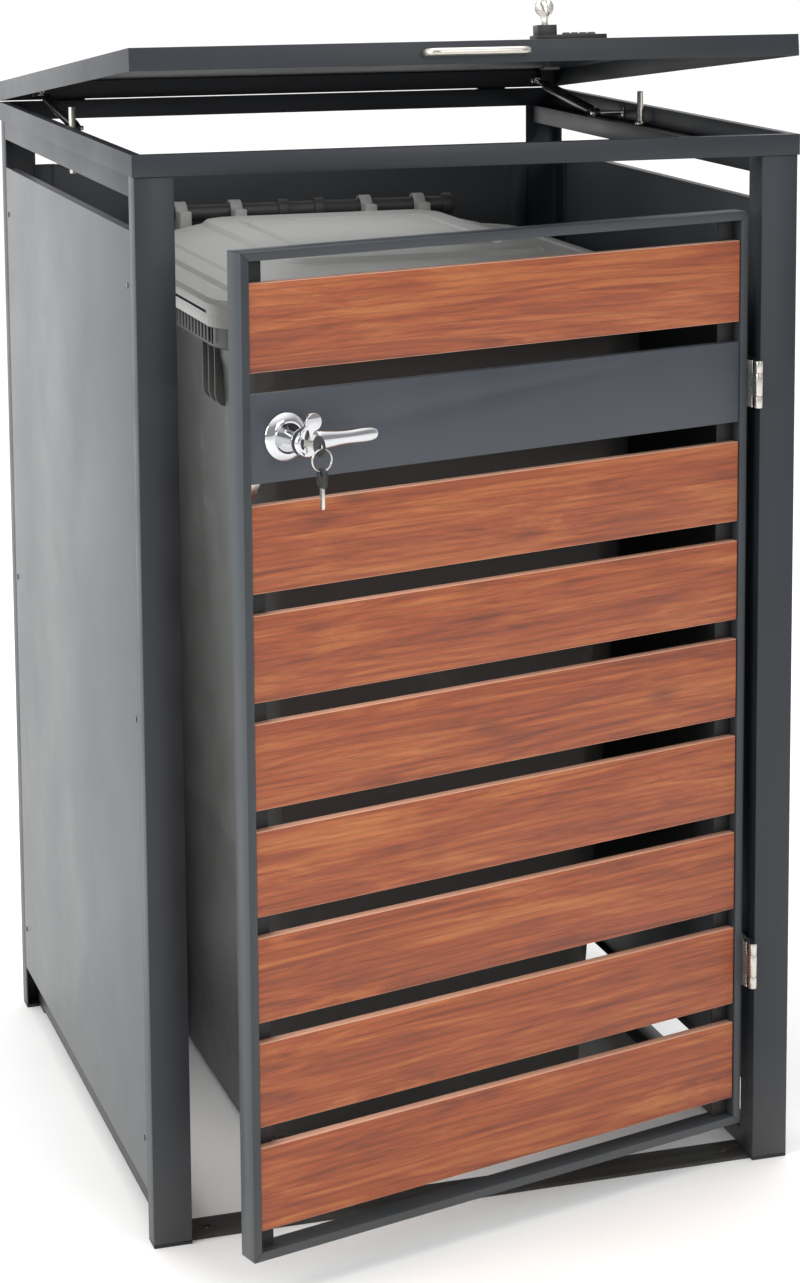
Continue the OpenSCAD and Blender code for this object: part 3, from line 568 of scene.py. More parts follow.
class HousingLooks(bpy.types.PropertyGroup):
    coat: colour_setting("Powder coat", "#1c2128")
    panel: colour_setting("Side panels", "#484b4e")
    door_frame: colour_setting("Door frame", "#2e3338")
    lock_board: colour_setting("Lock board", "#3a3e46")
    wood: colour_setting("Wood boards", "#964b28")
    bin_body: colour_setting("Bin", "#3b3b3a")
    bin_lid: colour_setting("Bin lid", "#a2a2a0")
    fold_radius: FloatProperty(
        name="Fold radius", description="Radius of the folded steel edges",
        default=0.9 * MM, min=0.2 * MM, max=2 * MM, unit="LENGTH", subtype="DISTANCE")
    board_radius: FloatProperty(
        name="Board edge", description="Radius of the boards' edges",
        default=1.2 * MM, min=0.3 * MM, max=3 * MM, unit="LENGTH", subtype="DISTANCE")


class BinShape(bpy.types.PropertyGroup):
    step_height: FloatProperty(
        name="Step height", description="Height of the step around the bin's body",
        default=0.385, min=0.3, max=0.5, unit="LENGTH", subtype="DISTANCE")
    step_out: FloatProperty(
        name="Step", description="How far the body steps out",
        default=4 * MM, min=1 * MM, max=8 * MM, unit="LENGTH", subtype="DISTANCE")
    rib_pitch: FloatProperty(
        name="Rib pitch", description="Distance between the ribs under the rim",
        default=16 * MM, min=8 * MM, max=30 * MM, unit="LENGTH", subtype="DISTANCE")
    tread_blocks: IntProperty(
        name="Tread blocks", description="Blocks around each tyre", default=36, min=12, max=60)


class StageView(bpy.types.PropertyGroup):
    place: FloatVectorProperty(
        name="Camera", description="Where the camera stands",
        default=(-1.083, -3.638, 1.538), unit="LENGTH", subtype="XYZ")
    azimuth: FloatProperty(
        name="Azimuth", description="How far the view is turned from straight ahead",
        default=math.radians(18.913), unit="ROTATION", subtype="ANGLE")
    elevation: FloatProperty(
        name="Elevation", description="How far the camera looks down",
        default=math.radians(8.361), unit="ROTATION", subtype="ANGLE")
    roll: FloatProperty(
        name="Roll", description="Turn about the view's own axis",
        default=math.radians(-0.125), unit="ROTATION", subtype="ANGLE")
    lens: FloatProperty(
        name="Lens", description="Focal length on a 36 mm sensor",
        default=86.49, subtype="DISTANCE_CAMERA")
    shift: FloatVectorProperty(
        name="Shift", description="Shift of the lens", size=2, default=(-0.0766, -0.25))


# ---------- the housing ----------

# The floor strips and door straps take the coat painted near-black: painted shade, not a paint of
# their own.
SHEET_PIECES = {
    "post_front_left": "coat", "post_front_right": "coat",
    "post_rear_left": "coat", "post_rear_right": "coat",
    "panel_left": "panel", "panel_right": "panel", "panel_back": "panel",
    "side_rails": "coat", "base_bars": "coat",
    "floor_strips": "coat_painted_shade", "top_ring": "coat",
    "post_pads": "black", "panel_rivets": "frame"}
DOOR_SHEET_PIECES = {
    "door_frame": "frame", "door_straps": "coat_painted_shade", "lock_board_tray": "tray"}


def round_over(node, body, finish, radius):
    """Replaces a folded or welded CAD piece by one with rounded edges."""
    piece = merged_copy(node, node + "_rounded")
    soften(piece, radius, 2, 40)
    return stand_in(piece, node, body, finish)


class HOUSING_OT_finishes(bpy.types.Operator):
    """Mix the finishes of every piece"""
    bl_idname = "bin_housing.finishes"
    bl_label = "Finishes"

    def execute(self, context):
        mix_finishes(context.scene.housing_looks)
        return {"FINISHED"}


class HOUSING_OT_sheet(bpy.types.Operator):
    """Round the folds of the posts, panels, rails and ring"""
    bl_idname = "bin_housing.sheet"
    bl_label = "Posts, panels and ring"

    def execute(self, context):
        radius = context.scene.housing_looks.fold_radius
        for node, finish in SHEET_PIECES.items():
            small = radius / 3 if node == "panel_rivets" else radius
            round_over(node, "root", finish, small)
        for node, finish in DOOR_SHEET_PIECES.items():
            round_over(node, "door", finish, radius)
        return {"FINISHED"}


class HOUSING_OT_boards(bpy.types.Operator):
    """Saw the eight boards and ease their edges"""
    bl_idname = "bin_housing.boards"
    bl_label = "Door boards"

    def execute(self, context):
        looks = context.scene.housing_looks
        boards = [n for n in frame["nodes"] if n.startswith("board_") and n[6:].isdigit()]
        low, high = closed_box(boards[0], DOOR_TURN)
        master = block("board", low, high)
        round_edges(master, looks.board_radius, 3, lambda at, way: at.y < low.y + MM)
        soften(master, looks.board_radius / 3, 1, 50)
        for node in boards:
            lift = closed_box(node, DOOR_TURN)[0].z - low.z
            piece = copies(master, [Matrix.Translation((0, 0, lift))])[0]
            piece.name = node + "_eased"
            stand_in(piece, node, "door", "wood", DOOR_TURN)
            piece.data.materials.append(FINISHES["wood_edge_highlight"])
            # The upper and lower faces take the pale material: a painted highlight along each
            # board's edges.
            for face in piece.data.polygons:
                face.material_index = 1 if abs(face.normal.z) > 0.6 else 0
        discard(master)
        screws = merged_copy("board_screws", "board_screws_domed")
        soften(screws, 0.6 * MM, 2, 50)
        stand_in(screws, "board_screws", "door", "nickel")
        return {"FINISHED"}


class HOUSING_OT_hinges(bpy.types.Operator):
    """Finish the door and lid hinges"""
    bl_idname = "bin_housing.hinges"
    bl_label = "Hinges"

    def execute(self, context):
        for node, body, finish in (
                ("door_hinge_fixed", "root", "nickel"), ("door_hinge_moving", "door", "nickel"),
                ("lid_hinge_fixed", "root", "enamel"), ("lid_hinge_moving", "lid", "enamel")):
            round_over(node, body, finish, 0.4 * MM)
        return {"FINISHED"}


class HOUSING_OT_lid(bpy.types.Operator):
    """Finish the lid, its handle and its brackets"""
    bl_idname = "bin_housing.lid"
    bl_label = "Lid"

    def execute(self, context):
        round_over("lid_tray", "lid", "coat", context.scene.housing_looks.fold_radius)
        round_over("lid_stay_brackets", "lid", "enamel", 0.4 * MM)
        round_over("lid_guide_pins", "root", "steel", 1.1 * MM)
        low, high = closed_box("lid_handle", LID_TURN)
        centre_z = (low.z + high.z) / 2
        radius = (high.z - low.z) / 2
        bar_y = low.y + radius
        half = high.x - radius
        # The bow is one bent rod: out from the lid, across and back.
        bend = 3 * radius
        path = [(-half, high.y), (-half, bar_y + bend)]
        path += [(-half + bend * (1 - math.cos(a)), bar_y + bend * (1 - math.sin(a)))
                 for a in (math.radians(18 * i) for i in range(1, 6))]
        path += [(-x, y) for x, y in reversed(path)]
        piece = bent_rod("lid_handle_bow", [Vector((x, y, centre_z)) for x, y in path], radius)
        stand_in(piece, "lid_handle", "lid", "steel", LID_TURN)
        return {"FINISHED"}


def bent_rod(name, points, radius, segments=20):
    """A round rod along points, made by extruding a circle from bend to bend."""
    ways = [(b - a).normalized() for a, b in zip(points, points[1:])]
    ways = [ways[0]] + ways
    nexts = ways[1:] + [ways[-1]]
    bpy.ops.object.select_all(action="DESELECT")
    bpy.ops.mesh.primitive_circle_add(vertices=segments, radius=radius, fill_type="NGON")
    piece = bpy.context.object
    turn = ways[0].to_track_quat("Z", "Y")
    piece.matrix_world = Matrix.Translation(points[0]) @ turn.to_matrix().to_4x4()
    settle(piece, name)
    edit(piece)
    bpy.ops.mesh.select_all(action="SELECT")
    facing = ways[0]
    for i in range(1, len(points)):
        step = points[i] - points[i - 1]
        bpy.ops.mesh.extrude_region_move(TRANSFORM_OT_translate={"value": step})
        wanted = (ways[i] + nexts[i]).normalized()
        spin = facing.rotation_difference(wanted)
        mesh = bmesh.from_edit_mesh(piece.data)
        chosen = [v for v in mesh.verts if v.select]
        bmesh.ops.rotate(mesh, cent=points[i], matrix=spin.to_matrix(), verts=chosen)
        bmesh.update_edit_mesh(piece.data)
        facing = wanted
    face_outwards()
    return soften(piece, radius * 0.2, 2, 50)


# ---------- stays ----------

def stay_axis(side):
    """Start and direction of a lid stay."""
    slide = JOINTS["stay_" + side + "_slide"]
    swivel = JOINTS["stay_" + side + "_swivel"]
    return Vector(swivel["pos_m"]), Vector(slide["axis"])


class HOUSING_OT_stays(bpy.types.Operator):
    """Turn the gas stays with their ball ends"""
    bl_idname = "bin_housing.stays"
    bl_label = "Lid stays"

    def execute(self, context):
        round_over("stay_ring_pins", "root", "nickel", 0.5 * MM)
        for side in ("left", "right"):
            start, way = stay_axis(side)
            self.tube(side, start, way)
            self.rod(side, start, way)
        return {"FINISHED"}

    def tube(self, side, start, way):
        """The gas tube with its rolled mouth, its neck and the eye on the ring's pin."""
        # The mouth lies 196 mm from the eye.
        mouth = 196 * MM
        tube = turned(
            "tube", [(14 * MM, 3.4 * MM), (16 * MM, 6.2 * MM), (19 * MM, 7 * MM),
                     (mouth - 9 * MM, 7 * MM), (mouth - 7 * MM, 6.1 * MM),
                     (mouth - 5 * MM, 6.1 * MM), (mouth - 4 * MM, 6.9 * MM),
                     (mouth, 6.4 * MM), (mouth + 0.1 * MM, 3.3 * MM)],
            start, way, 32)
        neck = turned("neck", [(3 * MM, 3.4 * MM), (15 * MM, 3.4 * MM)], start, way, 24)
        eye = turned(
            "eye", [(-4 * MM, 4.4 * MM), (-3 * MM, 6.2 * MM), (3 * MM, 6.2 * MM),
                    (4 * MM, 4.4 * MM)],
            start, (1, 0, 0), 32)
        piece = join("stay_tube_" + side + "_turned", [tube, neck, eye])
        soften(piece, 0.3 * MM, 2, 40)
        stand_in(piece, "stay_tube_" + side, "stay_tube_" + side, "enamel")

    def rod(self, side, start, way):
        """The rod with the socket and ball that hold the lid's stud."""
        ball_reach = 6.5 * MM
        far = (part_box("stay_rod_" + side)[1].y - start.y - ball_reach) / way.y
        rod = turned("rod", [(80 * MM, 3 * MM), (far - 14 * MM, 3 * MM)], start, way, 24)
        socket = turned(
            "socket", [(far - 15 * MM, 4.2 * MM), (far - 6 * MM, 4.2 * MM),
                       (far - 3 * MM, 5 * MM)],
            start, way, 24)
        ball = turned(
            "ball", [(-4 * MM, 4.6 * MM), (-2.6 * MM, 6.3 * MM), (2.6 * MM, 6.3 * MM),
                     (4 * MM, 4.6 * MM), (6.5 * MM, 3.6 * MM)],
            start + way * far, (1 if side == "right" else -1, 0, 0), 32)
        piece = join("stay_rod_" + side + "_turned", [rod, socket, ball])
        soften(piece, 0.3 * MM, 2, 40)
        stand_in(piece, "stay_rod_" + side, "stay_rod_" + side, "chrome")


# ---------- door handle, locks and keys ----------

# How far a key's head stands out of its lock, and how thick the head is.
KEY_OUT = 30 * MM
KEY_THICK = 2.2 * MM
# Away from the door's outer face, with the door shut.
OUTWARD = (0, -1, 0)


def key_turn(origin, way, flat):
    """Takes a key drawn along +Y, flat side to +X, to its lock."""
    side = Vector(flat).normalized()
    ahead = Vector(way).normalized()
    turn = Matrix((side, ahead, side.cross(ahead))).transposed().to_4x4()
    return Matrix.Translation(Vector(origin)) @ turn


def key_bow(name, place):
    """The round head of a key, with its ring hole."""
    bow_at = -(KEY_OUT - 10 * MM)
    radius = 11 * MM
    bow = turned(
        name, [(-KEY_THICK / 2, radius), (KEY_THICK / 2, radius)], (0, bow_at, 0), (1, 0, 0), 48)
    hole = turned(
        "hole", [(-3 * MM, 3 * MM), (3 * MM, 3 * MM)], (0, bow_at - 5 * MM, 0), (1, 0, 0), 24)
    carve(bow, hole)
    soften(bow, 0.3 * MM, 2, 40)
    bow.data.transform(place)
    return bow


def key_blade(name, place, depth):
    """The shank of a key with its stop; it enters the lock by the given depth."""
    bow_at = -(KEY_OUT - 10 * MM)
    shank = block("shank", (-1 * MM, bow_at + 8 * MM, -3.5 * MM), (1 * MM, depth, 3.5 * MM))
    stop = block(
        "stop", (-1.05 * MM, bow_at + 9.5 * MM, -5 * MM), (1.05 * MM, bow_at + 12 * MM, 5 * MM))
    piece = join(name, [shank, stop])
    soften(piece, 0.25 * MM, 2, 40)
    piece.data.transform(place)
    return piece


def wire_ring(name, centre, axis, radius, wire):
    """A split ring: two close turns of wire."""
    made = []
    for shift in (-0.5, 0.5):
        bpy.ops.object.select_all(action="DESELECT")
        bpy.ops.mesh.primitive_torus_add(
            major_radius=radius, minor_radius=wire / 2, major_segments=64, minor_segments=12,
            location=(0, 0, shift * wire))
        made.append(settle(bpy.context.object, "turn"))
    piece = join(name, made)
    turn = Vector(axis).to_track_quat("Z", "Y").to_matrix().to_4x4()
    piece.data.transform(Matrix.Translation(Vector(centre)) @ turn)
    only(piece)
    bpy.ops.object.shade_smooth_by_angle(angle=math.radians(40))
    return piece


class HOUSING_OT_door_handle(bpy.types.Operator):
    """Shape the lever, its rose, the lock and the hanging keys"""
    bl_idname = "bin_housing.door_handle"
    bl_label = "Door handle and keys"

    def execute(self, context):
        rose = closed_box("handle_rosette", DOOR_TURN)
        handle = closed_box("door_handle", DOOR_TURN)
        centre = middle(rose)
        foot = Vector((centre.x, rose[1].y, centre.z))
        front = Vector((centre.x, handle[0].y, centre.z))
        self.rose(foot, rose)
        self.lever(foot, front, handle)
        round_over("door_cam", "door_handle", "nickel", 0.5 * MM)
        round_over("door_lock_cover", "door_lock_cover", "chrome", 1.1 * MM)
        self.lock(front)
        self.door_key(front)
        self.split_ring()
        self.spare_key()
        return {"FINISHED"}

    def rose(self, foot, box):
        """The dished round plate behind the lever."""
        radius = (box[1].x - box[0].x) / 2
        depth = box[1].y - box[0].y
        piece = turned(
            "handle_rose_dished",
            [(0, radius), (1.5 * MM, radius), (3.2 * MM, radius - 1.2 * MM),
             (depth - 1.5 * MM, radius - 6 * MM), (depth - 0.4 * MM, radius - 9 * MM),
             (depth - 1.4 * MM, radius - 11 * MM), (depth - 1.4 * MM, 8.4 * MM)],
            foot, OUTWARD, 72)
        soften(piece, 0.4 * MM, 2, 25)
        stand_in(piece, "handle_rosette", "door", "chrome", DOOR_TURN)

    def lever(self, foot, front, box):
        """The lever's head and bar, with the spindle that goes through the door."""
        head = foot.y - front.y
        spindle_radius = 7.9 * MM
        neck = turned(
            "neck", [(0.5 * MM, spindle_radius), (head - 26 * MM, 7.6 * MM),
                     (head - 20 * MM, 9.5 * MM), (head - 17 * MM, 13.2 * MM),
                     (head - 12 * MM, 15.2 * MM), (head - 4 * MM, 15.4 * MM),
                     (head - 1 * MM, 14.6 * MM), (head, 13.2 * MM),
                     (head + 0.01 * MM, 9.2 * MM)],
            foot, OUTWARD, 56)
        inner = turned(
            "spindle", [(-(box[1].y - foot.y), spindle_radius), (1 * MM, spindle_radius)],
            foot, OUTWARD, 32)
        piece = join("door_lever_cast", [neck, inner, lever_arm(front, box[1].x)])
        only(piece)
        bpy.ops.object.shade_smooth_by_angle(angle=math.radians(45))
        stand_in(piece, "door_handle", "door_handle", "chrome", DOOR_TURN)

    def lock(self, front):
        """The lock's plug, flush with the lever's head, with its key slit."""
        plug = turned(
            "door_lock_plug",
            [(-14 * MM, 8.8 * MM), (-0.9 * MM, 8.8 * MM), (0, 8.1 * MM), (0.01 * MM, 5.6 * MM),
             (-0.6 * MM, 5.2 * MM)],
            front, OUTWARD, 48)
        slit = block(
            "slit", front - Vector((1.3 * MM, 3 * MM, 4 * MM)),
            front + Vector((1.3 * MM, 9 * MM, 4 * MM)))
        carve(plug, slit)
        soften(plug, 0.25 * MM, 2, 40)
        stand_in(plug, "door_lock_cylinder", "door_key", "lock_face", DOOR_TURN)

    def door_key(self, front):
        """The key in the lock: a black head on a plated blade."""
        place = key_turn(front, (0, 1, 0), (1, 0, 0))
        bow = key_bow("door_key_head", place)
        stand_in(bow, "door_key", "door_key", "black", DOOR_TURN)
        blade = key_blade("door_key_blade", place, 8 * MM)
        hand_over(blade, "door_key", FINISHES["nickel"], [], DOOR_TURN)

    def split_ring(self):
        """The ring that hangs from the key in the lock."""
        box = closed_box("door_key_ring", DOOR_TURN)
        wire = 1.2 * MM
        radius = (box[1].x - box[0].x) / 2 - wire
        piece = wire_ring("door_key_split_ring", middle(box), (0, 1, 0), radius, wire)
        stand_in(piece, "door_key_ring", "door_key_ring", "nickel", DOOR_TURN)

    def spare_key(self):
        """The second key hangs from the ring by its moulded head."""
        low, high = closed_box("door_spare_key", DOOR_TURN)
        centre = middle((low, high))
        head_low = high.z - 20.5 * MM
        head = block("head", (low.x, low.y, head_low), high)
        round_edges(head, 6 * MM, 5, lambda at, way: abs(way.x) > STRAIGHT)
        hole = turned(
            "hole", [(-4 * MM, 2.5 * MM), (4 * MM, 2.5 * MM)],
            (centre.x, centre.y, high.z - 4.5 * MM), (1, 0, 0), 24)
        carve(head, hole)
        soften(head, 0.7 * MM, 2, 50)
        stand_in(head, "door_spare_key", "door_key_ring", "black", DOOR_TURN)
        half_thick, half_wide = 1 * MM, 3.5 * MM
        blade = block(
            "spare_key_blade", (centre.x - half_thick, centre.y - half_wide, low.z),
            (centre.x + half_thick, centre.y + half_wide, head_low + MM))
        round_edges(
            blade, 2.6 * MM, 2,
            lambda at, way: abs(way.x) > STRAIGHT and at.z < low.z + MM)
        soften(blade, 0.25 * MM, 2, 40)
        hand_over(blade, "door_key_ring", FINISHES["nickel"], [], DOOR_TURN)


def lever_arm(front, tip_x):
    """The lever's bar: it leaves the head, waists and ends in a rounded pad."""
    # Millimetres: distance along the bar, half height, half depth and distance behind the front.
    stations = [
        (8, 12.0, 8.5, 9.5), (22, 10.5, 7.5, 9.2), (36, 8.6, 6.2, 9.2), (50, 7.4, 5.2, 9.4),
        (62, 7.6, 4.8, 9.6), (74, 8.0, 4.4, 9.8), (83, 7.4, 3.9, 10.0), (88.5, 5.4, 3.0, 10.2),
        (90, 3.0, 1.6, 10.4)]
    length = (tip_x - front.x) / MM
    grow = length / stations[-1][0]
    first = stations[0]
    bpy.ops.object.select_all(action="DESELECT")
    bpy.ops.mesh.primitive_circle_add(
        vertices=28, radius=1, fill_type="NGON", rotation=(0, math.radians(90), 0))
    piece = bpy.context.object
    piece.scale = (first[1] * MM, first[2] * MM, 1)
    piece.location = front + Vector((first[0] * grow * MM, first[3] * MM, 0))
    settle(piece, "lever")
    edit(piece)
    bpy.ops.mesh.select_all(action="SELECT")
    for before, after in zip(stations, stations[1:]):
        step = ((after[0] - before[0]) * grow * MM, (after[3] - before[3]) * MM, 0)
        bpy.ops.mesh.extrude_region_move(TRANSFORM_OT_translate={"value": step})
        bpy.ops.transform.resize(
            value=(1, after[2] / before[2], after[1] / before[1]),
            center_override=front + Vector((after[0] * grow * MM, after[3] * MM, 0)))
    face_outwards()
    smooth = piece.modifiers.new("smooth", "SUBSURF")
    smooth.levels = 2
    smooth.render_levels = 2
    only(piece)
    bpy.ops.object.modifier_apply(modifier=smooth.name)
    return piece


class HOUSING_OT_lid_lock(bpy.types.Operator):
    """Build the combination lock on the lid"""
    bl_idname = "bin_housing.lid_lock"
    bl_label = "Lid lock"

    def execute(self, context):
        round_over("lid_lock_base", "lid", "black", 0.7 * MM)
        round_over("lid_lock_knob", "lid_lock_knob", "black", 1.0 * MM)
        centre = middle(closed_box("lid_lock_key", LID_TURN))
        centre.z = closed_box("lid_lock_knob", LID_TURN)[1].z
        place = key_turn(centre, (0, 0, -1), (0, 1, 0))
        bow = key_bow("key", place)
        blade = key_blade("blade", place, MM)
        core = turned(
            "core", [(-8.6 * MM, 3.4 * MM), (0.3 * MM, 3.4 * MM), (0.6 * MM, 2.6 * MM)],
            centre, (0, 0, 1), 32)
        ring = wire_ring("ring", centre + Vector((0, 0, 19 * MM)), (1, 0.2, 0.3), 9 * MM, MM)
        piece = join("lid_lock_key_cut", [bow, blade, core, ring])
        stand_in(piece, "lid_lock_key", "lid_lock_key", "nickel", LID_TURN)
        for i in range(1, 5):
            self.dial("dial_" + str(i))
        return {"FINISHED"}

    def dial(self, node):
        """A number wheel with ten finger flutes and a bead on each rim."""
        low, high = closed_box(node, LID_TURN)
        centre = middle((low, high))
        radius = (high.z - low.z) / 2
        half = (high.x - low.x) / 2
        wheel = turned(
            "wheel", [(-half, radius - 1 * MM), (-half + 0.8 * MM, radius),
                      (half - 0.8 * MM, radius), (half, radius - 1 * MM)],
            centre, (1, 0, 0), 40)
        flute = turned(
            "flute", [(-half * 0.7, 1.1 * MM), (half * 0.7, 1.1 * MM)],
            centre + Vector((0, 0, radius + 0.45 * MM)), (1, 0, 0), 12)
        hub = Matrix.Translation(centre)
        spins = [hub @ Matrix.Rotation(math.radians(36 * k), 4, "X") @ hub.inverted()
                 for k in range(10)]
        for cutter in copies(flute, spins):
            carve(wheel, cutter)
        discard(flute)
        wheel.name = node + "_fluted"
        soften(wheel, 0.2 * MM, 2, 35)
        stand_in(wheel, node, node, "black", LID_TURN)


# ---------- wheelie bin ----------

class HOUSING_OT_bin_body(bpy.types.Operator):
    """Mould the bin's body with its rim, ribs, steps and grips"""
    bl_idname = "bin_housing.bin_body"
    bl_label = "Bin body"

    def execute(self, context):
        shape = context.scene.bin_shape
        low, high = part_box("bin_body")
        rim_low = high.z - 55 * MM
        base_z = 14 * MM
        # Half widths of the rim, and of the tapered wall at its top and at its base.
        rim = high.x
        top = rim - 14 * MM
        base = top - 42 * MM
        # The wall leans more at the front than at the rear, where the wheels are.
        y_base = (low.y + 136 * MM, high.y - 76 * MM)
        y_top = (low.y + 14 * MM, high.y - 14 * MM)

        def wall(z, out=0.0):
            """The tapered wall at one height, moved outwards by out."""
            share = (z - base_z) / (high.z - base_z)
            y_low = y_base[0] + (y_top[0] - y_base[0]) * share - out
            y_high = y_base[1] + (y_top[1] - y_base[1]) * share + out
            return z, base + (top - base) * share + out, y_low, y_high

        start = wall(base_z, -5 * MM)
        body = block(
            "bin_body_moulded", (-start[1], start[2], base_z),
            (start[1], start[3], base_z + 6 * MM))
        edit(body, "EDGE")
        pick(body, lambda at, way: abs(way.z) > STRAIGHT, "edges")
        bpy.ops.mesh.bevel(offset=48 * MM, segments=8, affect="EDGES")
        bpy.ops.mesh.select_mode(type="FACE")
        pick(body, lambda at, way: way.z > STRAIGHT)
        step = shape.step_height
        thin = 5 * MM
        levels = [
            wall(base_z + 14 * MM, -shape.step_out / 2),
            wall(step - 6 * MM, -shape.step_out / 2 - MM),
            wall(step, -MM), wall(step + 34 * MM, -MM), wall(step + 37 * MM, -2.5 * MM),
            wall(rim_low - 26 * MM, -2.5 * MM), wall(rim_low - 14 * MM, -0.5 * MM),
            wall(rim_low - 2 * MM, -0.5 * MM)]
        levels += [
            (rim_low, rim - 4 * MM, low.y + 4 * MM, high.y - 4 * MM),
            (rim_low + 3 * MM, rim, low.y, high.y),
            (high.z - 3 * MM, rim, low.y, high.y),
            (high.z, rim - 3 * MM, low.y + 3 * MM, high.y - 3 * MM)]
        # Over the rim and down the inside to the floor.
        levels += [
            wall(high.z, -thin), wall(rim_low, -thin), wall(base_z + 12 * MM, -thin - 3 * MM)]
        loft_up(body, levels)
        face_outwards()
        pieces = [body]
        axle = middle(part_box("bin_axle"))
        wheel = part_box("bin_wheel_right")
        self.wheel_wells(body, axle, wheel)
        soften(body, 1.6 * MM, 2, 30)
        bracket = block(
            "bracket", (-wheel[0].x + 12 * MM, y_base[1] - 14 * MM, axle.z - 20 * MM),
            (wheel[0].x - 12 * MM, axle.y + 18 * MM, axle.z + 20 * MM))
        round_edges(
            bracket, 14 * MM, 5, lambda at, way: abs(way.x) > STRAIGHT and at.y > axle.y)
        pieces.append(bracket)
        for side in (-1, 1):
            foot_x = side * (base - 55 * MM)
            foot = block(
                "foot", (foot_x - 24 * MM, y_base[0] + 20 * MM, 0),
                (foot_x + 24 * MM, y_base[0] + 74 * MM, base_z + 4 * MM))
            soften(foot, 4 * MM, 3, 50)
            pieces.append(foot)
        pieces += self.ribs(shape.rib_pitch, rim, low.y, high.y, rim_low, high.z)
        pieces += self.grips(top, rim_low)
        whole = join("bin_body_moulded", pieces)
        stand_in(whole, "bin_body", "root", "bin_dark")
        return {"FINISHED"}

    def wheel_wells(self, body, axle, wheel):
        """Rounds the rear corners in around each wheel."""
        gap = 10 * MM
        reach = (wheel[1].z - wheel[0].z) / 2 + gap
        for side in (-1, 1):
            start = (side * (wheel[0].x - gap), axle.y, axle.z)
            well = turned("well", [(0, reach), (120 * MM, reach)], start, (side, 0, 0), 64)
            carve(body, well)

    def ribs(self, pitch, rim, y_low, y_high, z_low, z_high):
        """Short upright ribs around the rim's outer face."""
        rib = block(
            "rib", (-1.4 * MM, -1.8 * MM, z_low + 6 * MM),
            (1.4 * MM, 0.5 * MM, z_high - 27 * MM))
        soften(rib, 0.7 * MM, 1, 50)
        places = []
        # The rim's rounded corners have no ribs.
        corner = 52 * MM
        count = int((2 * (rim - corner)) / pitch)
        for i in range(count + 1):
            x = -(rim - corner) + i * 2 * (rim - corner) / count
            places.append(Matrix.Translation((x, y_low, 0)))
            places.append(Matrix.Translation((x, y_high, 0)) @ Matrix.Rotation(math.pi, 4, "Z"))
        count = int((y_high - y_low - 2 * corner) / pitch)
        for i in range(count + 1):
            y = y_low + corner + i * (y_high - y_low - 2 * corner) / count
            places.append(Matrix.Translation((-rim, y, 0)) @ Matrix.Rotation(-math.pi / 2, 4, "Z"))
            places.append(Matrix.Translation((rim, y, 0)) @ Matrix.Rotation(math.pi / 2, 4, "Z"))
        made = copies(rib, places)
        discard(rib)
        return made

    def grips(self, top, rim_low):
        """Three grip fins under the rim, at the front of both sides."""
        made = []
        first_y, pitch = -235 * MM, 30 * MM
        z_high = rim_low - 4 * MM
        for side in (-1, 1):
            x = side * (top - 6 * MM)
            for k in range(3):
                y = first_y + k * pitch
                fin = block(
                    "fin", (x - 9 * MM, y - 2 * MM, z_high - 70 * MM),
                    (x + 9 * MM, y + 2 * MM, z_high))
                round_edges(
                    fin, 14 * MM, 3,
                    lambda at, way: abs(way.y) > STRAIGHT and side * at.x > side * x
                    and at.z < z_high - 30 * MM)
                soften(fin, 0.8 * MM, 1, 50)
                made.append(fin)
        return made


